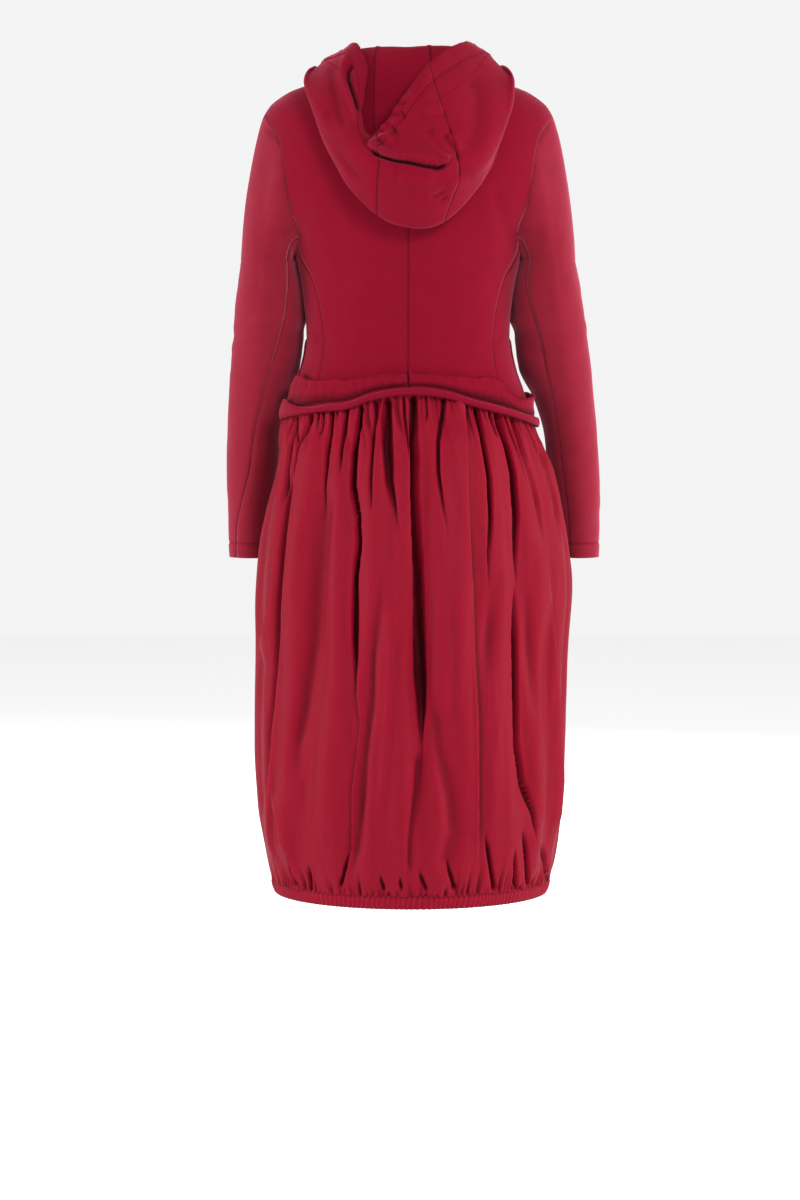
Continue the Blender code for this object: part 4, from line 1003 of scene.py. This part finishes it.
for side, mirrored in (("left", False), ("right", True)):
    for name, piece in bodicePieces.items():
        if name == "side_back":
            grid = sideBack(piece["rows"], piece["columns"], mirrored)
        else:
            grid = frontOrBack(name == "front", piece["rows"], piece["columns"], mirrored)
        if name == "front":
            grid[..., 0] = np.clip(grid[..., 0], frontEdge, None)
        if name == "back":
            grid = grid[:, ::-1]
        addShell(f"{name}_{side}_cloth", grid, {**bodice, **piece},
                 lambda g, p=piece: jerseyLift(g, p["dips"], bodiceCreases), mirrored)
print("bodice made")

# Sleeves.
# The sleeves take the jersey with painted sheen, and painted shade along their seams.
sleeve = {"slot": "jersey", "material": "sleeve", "wall": 0.0016, "held": "hung",
          "seams": ("left", "right", "first"), "tuck": 0.0016, "overlap": 0.0022,
          "hem": 0.021, "hemStep": 0.0006, "hemGroove": 0.0010,
          "elbow": -0.34, "elbowWrinkle": 0.0012, "elbowSize": (0.06, 0.05, 0.014),
          "wrist": -0.60, "wristWrinkle": 0.0010, "wristSize": (0.05, 0.05, 0.018),
          "swellTop": -0.205, "swellMiddle": -0.325, "swellEnd": -0.395}
sleevePieces = {
    "upper": {"rows": 180, "columns": 62, "flat": (0.28, 0.60, 0.122)},
    "under": {"rows": 180, "columns": 34, "flat": (0.12, 0.47, 0.043)},
}
sleeveSides = {"left": {"mirrored": False, "seam": "seamLeft", "splay": 0.0},
               "right": {"mirrored": True, "seam": "seamRight", "splay": 0.020}}


def armpitSwell(grid, splay):
    # The sleeve's inner side rests against the bodice down to the elbow.
    z = grid[..., 2]
    inner, outer = read(sleeveTable, "inner", z), read(sleeveTable, "outer", z)
    out = sleeveSplay(z, splay)
    gap = inner + out - read(bodyTable, "halfWidth", z) + sleeve["overlap"]
    reach = (ease((sleeve["swellTop"] - z) / 0.035) * (1 - 0.5 * ease((sleeve["swellMiddle"] - z) / 0.025))
             * (1 - ease((sleeve["swellEnd"] - z) / 0.045)))
    return gap * reach * ease(((inner + outer) / 2 + out - np.abs(grid[..., 0])) / ((outer - inner) / 2))


def sleeveLift(grid, splay):
    z = grid[..., 2]
    fromCuff = edgeDistance(grid, "last")
    elbow = sleeve["elbowWrinkle"] * bell(z, sleeve["elbow"], 0.06)
    wrist = sleeve["wristWrinkle"] * bell(z, sleeve["wrist"], 0.07)
    wrinkles = (elbow * smoothNoise(grid, sleeve["elbowSize"], 4.0)
                + wrist * smoothNoise(grid, sleeve["wristSize"], 5.0))
    hem = (sleeve["hemStep"] * ease((sleeve["hem"] - fromCuff) / 0.003)
           - sleeve["hemGroove"] * bell(fromCuff, sleeve["hem"], 0.0016))
    armholeSeam = seamDip(grid, ("first",), 0.0003, 0.0020)
    cloth = jerseyLift(grid, ("left", "right"), sleeveCreases)
    return wrinkles + hem + armholeSeam + armpitSwell(grid, splay) + cloth


for side, arm in sleeveSides.items():
    for name, piece in sleevePieces.items():
        grid = sleevePiece(name == "upper", arm["seam"], arm["splay"], piece["rows"], piece["columns"])
        addShell(f"sleeve_{name}_{side}_cloth", tuckUnder(grid, sleeve["tuck"]), {**sleeve, **piece},
                 lambda g, out=arm["splay"]: sleeveLift(g, out), arm["mirrored"])
print("sleeves made")

# Hood. Its shares run from 0 at the neck seam to 1 at the rim, and its turns are degrees from the centre back.
hood = {"slot": "jersey", "wall": 0.0016, "held": "draped", "rows": 200, "start": 0.008,
        "drop": 0.0090, "dropShare": 0.635, "dropTurn": 66,
        "swell": 0.0100, "swellShare": 0.68, "swellTurn": 62,
        "channel": 0.0009, "channelWidth": 0.0245, "channelGroove": 0.0011,
        "pucker": 0.0008, "lowPucker": 0.0032, "puckerSize": (0.0075, 0.0075, 0.0075),
        "soft": 0.0018, "softSize": (0.06, 0.06, 0.05), "fine": 0.0005, "fineSize": (0.02, 0.02, 0.02)}
hoodPieces = {
    "left": {"columns": 120, "dips": ("right",), "flat": (0.45, 0.34, 0.095)},
    "centre": {"columns": 44, "dips": ("left", "right"), "flat": (0.12, 0.50, 0.042)},
    "right": {"columns": 126, "dips": ("left",), "flat": (0.45, 0.36, 0.105)},
}
hoodEnds = {
    "left": (lambda t: -87 + 0 * t, lambda t: read(hoodSeamTable, "left", t)),
    "centre": (lambda t: read(hoodSeamTable, "left", t), lambda t: read(hoodSeamTable, "right", t)),
    "right": (lambda t: read(hoodSeamTable, "right", t), lambda t: 267 + 0 * t),
}


def shoulderTurn(grid):
    return np.abs((np.degrees(np.arctan2(grid[..., 1], grid[..., 0])) + 90) % 360 - 180)


def hoodGrid(name, columns):
    t = np.linspace(hood["start"], 1, hood["rows"] + 1)[:, None]
    first, last = (end(t) for end in hoodEnds[name])
    degrees = first + (last - first) * np.linspace(0, 1, columns + 1)[None, :]
    grid = hoodPoint(degrees, np.broadcast_to(t, degrees.shape))
    # The wall lies a little lower where it turns over each shoulder.
    over = ease((shoulderTurn(grid) - hood["dropTurn"]) / 16)
    grid[..., 2] -= hood["drop"] * bell(t, hood["dropShare"], 0.065) * over
    return grid, t


# The pouch's place is in pixels of the camera's frame. pressed is how much of the seam's dip is left past it.
pouch = {"left": 425, "top": 128, "bottom": 176, "pressed": 0.12}


def pressedSeam(grid, t):
    # The right seam is pressed flat, so that it only shows over the pouch.
    across, down = np.moveaxis(photoSpot(grid), -1, 0)
    past = (down < pouch["top"]) | (down > pouch["bottom"])
    flat = (across > pouch["left"]) & past & (t > 0.5) & (grid[..., 1] > 0)
    return np.where(flat, pouch["pressed"], 1.0)


def hoodLift(grid, t, dips):
    spot = photoSpot(grid)
    fromRim = edgeDistance(grid, "last")
    channel = (hood["channel"] * ease((hood["channelWidth"] - 0.0005 - fromRim) / 0.002)
               - hood["channelGroove"] * bell(fromRim, hood["channelWidth"], 0.0015))
    lower = ease((spot[..., 1] - 84) / 20) * behind(grid)
    pucker = (hood["pucker"] + hood["lowPucker"] * lower) * bell(fromRim, 0, 0.018)
    pucker = pucker * smoothNoise(grid, hood["puckerSize"], 8.0)
    soft = (hood["soft"] * smoothNoise(grid, hood["softSize"], 6.0)
            + hood["fine"] * smoothNoise(grid, hood["fineSize"], 7.0)) * ease((t - 0.02) / 0.10)
    # The outer wall swells behind each shoulder.
    swell = hood["swell"] * bell(t, hood["swellShare"], 0.09) * bell(shoulderTurn(grid), hood["swellTurn"], 14)
    creases = creaseHeight(spot, hoodCreases) * ease((t - 0.58) / 0.06) * behind(grid)
    return soft + swell + channel + pucker + creases + seamDip(grid, dips) * pressedSeam(grid, t)


for name, piece in hoodPieces.items():
    grid, t = hoodGrid(name, piece["columns"])
    # Painted shade along the hood's seams.
    shade = sum(seamShade(grid, edge) for edge in piece["dips"])
    addShell(f"hood_{name}_cloth", grid, {**hood, **piece, "shade": shade},
             lambda g, t=t, p=piece: hoodLift(g, t, p["dips"]))
print("hood made")

# Skirt, hem and waist strips.
skirt = {"slot": "woven", "wall": 0.0007, "held": "gathered", "length": 0.67, "closerRows": 0.095,
         "streak": 0.0016, "streakSize": (0.020, 0.020, 0.16), "fine": 0.0006, "fineSize": (0.008, 0.008, 0.05)}
skirtPieces = {
    "back": {"columns": 440, "rows": 108, "first": 0, "last": 180, "flat": (0.75, 0.70, None)},
    "front": {"columns": 220, "rows": 100, "first": -180, "last": 0, "flat": (0.72, 0.70, None)},
}
waistGathers = {"seed": 11, "count": 120, "girth": 1.0, "depth": 0.0062, "width": 0.0024, "reach": 0.030}
hemGathers = {"seed": 12, "count": 150, "girth": 1.1, "depth": 0.0050, "width": 0.0022, "reach": 0.014}


def skirtLift(grid, degrees, down):
    fromWaist, fromHem = down * skirt["length"], (1 - down) * skirt["length"]
    folds = creaseHeight(photoSpot(grid), skirtCreases) * ease((grid[..., 1] + 0.01) / 0.04)
    pleats = gathers(degrees, fromWaist, waistGathers) + gathers(degrees, fromHem, hemGathers)
    streak = (skirt["streak"] * smoothNoise(grid, skirt["streakSize"], 3.0)
              + skirt["fine"] * smoothNoise(grid, skirt["fineSize"], 9.0))
    hold = ease(fromWaist / 0.004) * ease(fromHem / 0.004)
    return (folds + pleats + streak) * (0.35 + 0.65 * hold)


for name, piece in skirtPieces.items():
    degrees = np.linspace(piece["first"], piece["last"], piece["columns"] + 1)[None, :]
    even = np.linspace(0, 1, piece["rows"] + 1)
    # The rows lie closer together at the waist and the hem.
    down = (even - skirt["closerRows"] * np.sin(2 * np.pi * even))[::-1][:, None]
    degrees, down = np.broadcast_arrays(degrees, down)
    addShell(f"skirt_{name}_cloth", skirtPoint(degrees, down), {**skirt, **piece},
             lambda g, a=degrees, d=down: skirtLift(g, a, d))

# The casing's painted shade between its ribs, and the painted highlight on them, are made stronger.
casing = {"slot": "woven", "wall": 0.0012, "held": "gathered", "columns": 960, "rows": 10,
          "ribs": 176, "shadeGain": 2.8, "inset": 0.001, "top": hemTop + 0.0015,
          "rib": 0.0017, "swell": 0.0016, "stitch": 0.0008, "flat": (1.45, 0.020, None)}


def casingGrid():
    degrees = np.linspace(-90, 270, casing["columns"] + 1)[:-1][None, :]
    share = np.linspace(0, 1, casing["rows"] + 1)[:, None]
    return skirtRing(degrees, mix(hemBottom, casing["top"], share), casing["inset"]), degrees, share


def casingLift(grid, degrees, share):
    uneven = smoothNoise(grid, (0.05, 0.05, 0.2), 12.0)
    turn = np.radians(degrees) * casing["ribs"] + 5 * smoothNoise(grid, (0.03, 0.03, 0.03), 13.0)
    ribs = casing["rib"] * (np.abs(np.sin(turn / 2)) ** 0.7 - 0.6) * (1 + 0.5 * uneven)
    return ribs + casing["swell"] * np.sin(np.pi * share) ** 0.7 - casing["stitch"] * bell(share, 0.9, 0.06)


grid, degrees, share = casingGrid()
addShell("hem_casing_cloth", grid, casing, lambda g: casingLift(g, degrees, share), closed=True)

# foot is where a strip starts above the waist line, and stand is how far it lies off the body's form.
strip = {"slot": "jersey", "wall": 0.0014, "held": "folded"}
flap = {**strip, "table": flapTable, "foot": 0.0075, "stand": 0.0029, "columns": 240, "rows": 12,
        "flat": (0.47, 0.032, None)}
strips = {
    "waist_flap_left": {**flap, "first": -89.7, "last": 89.7},
    "waist_flap_right": {**flap, "first": 90.3, "last": 269.7},
    "waist_band": {**strip, "table": bandTable, "foot": -0.006, "stand": 0.0024, "first": -90, "last": 270,
                   "columns": 420, "rows": 8, "flat": (0.96, 0.013, None)},
}
flapTab = {"angle": 90.3, "rise": 0.60, "width": 1.3}   # the tab that stands up at the centre back
raggedWaves = ((0.05, 0.01, 17.0), (0.03, 0.0023, 21.0))   # each wave's depth, size and shift


def stripEdge(name, degrees, share):
    # How far the raw edge runs past the strip's even height.
    along = point(degrees * 0.004, 0, 0)
    waves = [depth * smoothNoise(along, (size, 1, 1), shift) for depth, size, shift in raggedWaves]
    ragged = 1 + sum(waves) * share
    if name == "waist_flap_right":
        ragged = ragged + flapTab["rise"] * bell(degrees, flapTab["angle"], flapTab["width"]) * share
    return ragged


def stripLift(grid, share, band):
    wave = (0.0011 * smoothNoise(grid, (0.022, 0.022, 0.03), 15.0)
            + 0.0005 * smoothNoise(grid, (0.006, 0.006, 0.01), 16.0))
    if band:
        return 0.0022 * np.sin(np.pi * np.clip(share, 0, 1)) + wave * 0.5 + 0.0003
    return wave * ease(share / 0.3) + 0.0014 * share**3 - 0.0012 * ease((0.18 - share) / 0.18)


for name, piece in strips.items():
    band = name == "waist_band"
    degrees = np.linspace(piece["first"], piece["last"], piece["columns"] + 1)[None, :]
    if band:
        degrees = degrees[:, :-1]
    share = np.linspace(0, 1, piece["rows"] + 1)[:, None]
    height = share * stripEdge(name, degrees, share)
    grid = stripAround(piece["table"], degrees, height, piece["foot"], piece["stand"])
    # Painted shade along the foot of each strip, and on the flaps a painted highlight along the top edge.
    if band:
        shade = 0.5 * ease((0.25 - share) / 0.25)
    else:
        shade = ease((0.50 - share) / 0.45) - 0.5 * ease((share - 0.9) / 0.1)
    addShell(name + "_cloth", grid, {**piece, "shade": np.broadcast_to(shade, grid.shape[:2])},
             lambda g, s=share, b=band: stripLift(g, s, b), closed=band)
print("skirt and waist made")

# Zip.
tape = {"slot": "tape", "wall": 0.0007, "held": "hung", "first": 0.0029, "last": 0.0135, "inset": 0.0034,
        "flat": (0.011, 0.36, None)}
sliderMiddle, sliderLength, postLength, postGap = -0.0865, 0.011, 0.0042, 0.0035
teeth = {"top": sliderMiddle + sliderLength / 2 - postLength - postGap, "inset": 0.0022, "out": 0.0011,
         "stagger": 0.0013}


def frontLine(x, z, inset):
    p = bodyAtWidth(np.full_like(z, abs(x)), z, -1)
    p[:, 0] = x
    p[:, 1] += inset
    return p


heights = np.linspace(zipBottom, zipTop, 121)
for side, mirrored in (("left", False), ("right", True)):
    across = np.linspace(tape["first"], tape["last"], 9)
    grid = np.stack([frontLine(x, heights, tape["inset"]) for x in across], axis=1)
    addShell(f"zip_tape_{side}_cloth", grid, tape, lambda g: np.zeros(g.shape[:2]), mirrored)

# Small shapes along lines: stitches, zip teeth and loose threads. Sizes are in metres.
stitchRow = {"Spacing": 0.0032, "Length": 0.0024, "Thickness": 0.0007}
zipTeeth = {"Spacing": 0.0026, "Width": 0.0028, "Height": 0.0020, "Share": 0.62}
frayedEdge = {"Spacing": 0.0007, "Length": 0.0036, "Thickness": 0.00035, "Shortest": 0.4}
frayTurn = (1.4, 1.4, 3.1)   # the most that a loose thread turns about each axis, in radians


def alignedTo(axis):
    def build(tree):
        tangent = addNode(tree, "GeometryNodeInputTangent").outputs[0]
        return addNode(tree, "FunctionNodeAlignRotationToVector", {"Vector": tangent}, axis=axis).outputs[0]
    return build


def anyTurn(tree):
    least = tuple(-turn for turn in frayTurn)
    turn = addNode(tree, "FunctionNodeRandomValue", {0: least, 1: frayTurn}, data_type="FLOAT_VECTOR")
    return turn.outputs[0]


def toothSize(tree, size):
    return size("Width"), size("Height"), addMath(tree, "MULTIPLY", size("Spacing"), size("Share"))


def threadSize(tree, size):
    share = addNode(tree, "FunctionNodeRandomValue", {2: size("Shortest"), 3: 1.0}, data_type="FLOAT")
    length = addMath(tree, "MULTIPLY", size("Length"), share.outputs[1])
    return size("Thickness"), size("Thickness"), length


def stitchSize(tree, size):
    return size("Length"), size("Thickness"), size("Thickness")


def buildRowTree(name, sizes, shape, turned, scaled, smooth=False):
    # Copies of one small shape at even steps along each line.
    inputs = [(key, "NodeSocketFloat", value) for key, value in sizes.items()]
    tree, given, out = newTree(
        name, "GeometryNodeTree",
        [("Geometry", "NodeSocketGeometry"), *inputs, ("Material", "NodeSocketMaterial")],
        [("Geometry", "NodeSocketGeometry")],
    )
    curve = addNode(tree, "GeometryNodeMeshToCurve", {"Mesh": given.outputs["Geometry"]})
    steps = {"Curve": curve.outputs[0], "Length": given.outputs["Spacing"]}
    even = addNode(tree, "GeometryNodeResampleCurve", steps, mode="LENGTH")
    kind, values = shape
    small = addNode(tree, kind, values)
    size = addNode(tree, "ShaderNodeCombineXYZ", dict(enumerate(scaled(tree, lambda key: given.outputs[key]))))
    copies = addNode(tree, "GeometryNodeInstanceOnPoints", {
        "Points": even.outputs[0], "Instance": small.outputs[0], "Rotation": turned(tree),
        "Scale": size.outputs[0],
    })
    made = addNode(tree, "GeometryNodeRealizeInstances", {0: copies.outputs[0]})
    if smooth:
        made = addNode(tree, "GeometryNodeSetShadeSmooth", {0: made.outputs[0]})
    paint = addNode(tree, "GeometryNodeSetMaterial", {
        "Geometry": made.outputs[0], "Material": given.outputs["Material"],
    })
    tree.links.new(paint.outputs[0], out.inputs[0])
    return tree


stitchTree = buildRowTree(
    "stitchRow", stitchRow, ("GeometryNodeMeshUVSphere", {"Segments": 6, "Rings": 4, "Radius": 0.5}),
    alignedTo("X"), stitchSize, smooth=True)
teethTree = buildRowTree(
    "zipTeeth", zipTeeth, ("GeometryNodeMeshCylinder", {"Vertices": 10, "Radius": 0.5, "Depth": 1.0}),
    alignedTo("Z"), toothSize)
frayTree = buildRowTree(
    "frayedEdge", frayedEdge, ("GeometryNodeMeshCylinder", {"Vertices": 3, "Radius": 0.5, "Depth": 1.0}),
    anyTurn, threadSize)


def alongLines(name, lines, tree, sizes, material):
    # Runs a tree over some lines of points and keeps the result as a plain mesh.
    points, edges = [], []
    for line in lines:
        first = len(points)
        points += np.asarray(line).tolist()
        edges += [(first + k, first + k + 1) for k in range(len(line) - 1)]
    mesh = bpy.data.meshes.new(name + "_lines")
    mesh.from_pydata(points, edges, [])
    guide = addObject(name + "_lines", mesh)
    modifier = guide.modifiers.new("made", "NODES")
    modifier.node_group = tree
    sockets = {item.name: item.identifier for item in tree.interface.items_tree if item.in_out == "INPUT"}
    for key, value in {**sizes, "Material": materials[material]}.items():
        modifier[sockets[key]] = value
    bpy.context.view_layer.update()
    graph = bpy.context.evaluated_depsgraph_get()
    made = bpy.data.meshes.new_from_object(guide.evaluated_get(graph))
    made.name = name
    bpy.data.objects.remove(guide)
    obj = addObject(name, made)
    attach(obj, "root")
    print(f"{name}: {len(made.polygons)} faces")
    return obj


def shellRow(name, distance, lift=0.0003):
    # A line across a shell, at this distance from its last row.
    points, normals = shells[name]
    reach = edgeDistance(points, "last").mean(axis=1)
    row = int(np.argmin(np.abs(reach - distance)))
    return points[row] + normals[row] * lift


hoodShells = [f"hood_{part}_cloth" for part in hoodPieces]
sleeveShells = [f"sleeve_{part}_{side}_cloth" for part in sleevePieces for side in sleeveSides]
stitchLines = {
    "cuff_stitches": [shellRow(name, sleeve["hem"]) for name in sleeveShells],
    "hood_stitches": [shellRow(name, hood["channelWidth"]) for name in hoodShells],
}
for name, lines in stitchLines.items():
    alongLines(name, lines, stitchTree, stitchRow, "thread")

frayLines = {"hood_fray": hoodShells, "flap_fray": ["waist_flap_left_cloth", "waist_flap_right_cloth"]}
for name, edges in frayLines.items():
    alongLines(name, [shells[edge][0][-1] for edge in edges], frayTree, frayedEdge, "thread")

# The right comb is set half a tooth higher, and the left one stands for the chain.
for name, out, shift in (("zip_teeth_left", 1, 0.0), ("zip_teeth_right", -1, teeth["stagger"])):
    z = np.linspace(zipBottom + shift, teeth["top"], 60)
    line = frontLine(out * teeth["out"], z, teeth["inset"])
    comb = alongLines(name, [line], teethTree, zipTeeth, "teeth")
    if shift == 0:
        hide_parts("zip_chain")

for name in ("zip_slider", "zip_pull"):
    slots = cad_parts[name].data.materials
    slots.clear()
    slots.append(materials["painted_metal"])
print("zip and stitches made")

# Stage.
stage = {"floor": -1.508, "side": 6, "front": 8, "colour": (0.93, 0.93, 0.93, 1), "roughness": 0.75,
         "world": 0.90}
lights = {
    "key": {"place": (-1.4, 3.2, 1.3), "aim": (0, 0, -0.6), "size": 1.0, "power": 165},
    "fill": {"place": (1.8, 3.4, 0.2), "aim": (0, 0, -0.6), "size": 1.6, "power": 40},
    "rimLeft": {"place": (2.8, 0.5, -0.3), "aim": (0, 0, -0.4), "size": 1.2, "power": 100},
    "front": {"place": (-1.0, -4.0, 0.8), "aim": (0, 0, -0.6), "size": 1.8, "power": 90},
    "rimRight": {"place": (-2.8, 0.3, -0.3), "aim": (0, 0, -0.4), "size": 1.2, "power": 100},
}


def aimed(obj, place, aim):
    obj.location = place
    obj.rotation_euler = (Vector(aim) - Vector(place)).to_track_quat("-Z", "Y").to_euler()
    return obj


def addStage():
    side, front, z = stage["side"], stage["front"], stage["floor"]
    corners = [(-side, -front, z), (side, -front, z), (side, side, z), (-side, side, z)]
    mesh = bpy.data.meshes.new("floor")
    mesh.from_pydata(corners, [], [(0, 1, 2, 3)])
    pale = bpy.data.materials.new("pale floor")
    pale.use_nodes = True
    shader = pale.node_tree.nodes["Principled BSDF"]
    shader.inputs["Base Color"].default_value = stage["colour"]
    shader.inputs["Roughness"].default_value = stage["roughness"]
    mesh.materials.append(pale)
    addObject("floor", mesh)


def addLights():
    for name, light in lights.items():
        data = bpy.data.lights.new(name, "AREA")
        data.size, data.energy = light["size"], light["power"]
        aimed(addObject(name, data), light["place"], light["aim"])
    world = bpy.data.worlds.new("studio")
    world.use_nodes = True
    backdrop = world.node_tree.nodes["Background"]
    backdrop.inputs["Color"].default_value = (1, 1, 1, 1)
    backdrop.inputs["Strength"].default_value = stage["world"]
    bpy.context.scene.world = world
    bpy.context.scene.view_settings.view_transform = "Standard"


def addCamera():
    data = bpy.data.cameras.new("camera")
    data.lens, data.sensor_width = view["lens"], view["sensor"]
    bpy.context.scene.camera = aimed(addObject("camera", data), view["place"], view["look"])


addStage()
addLights()
addCamera()
print("stage made")
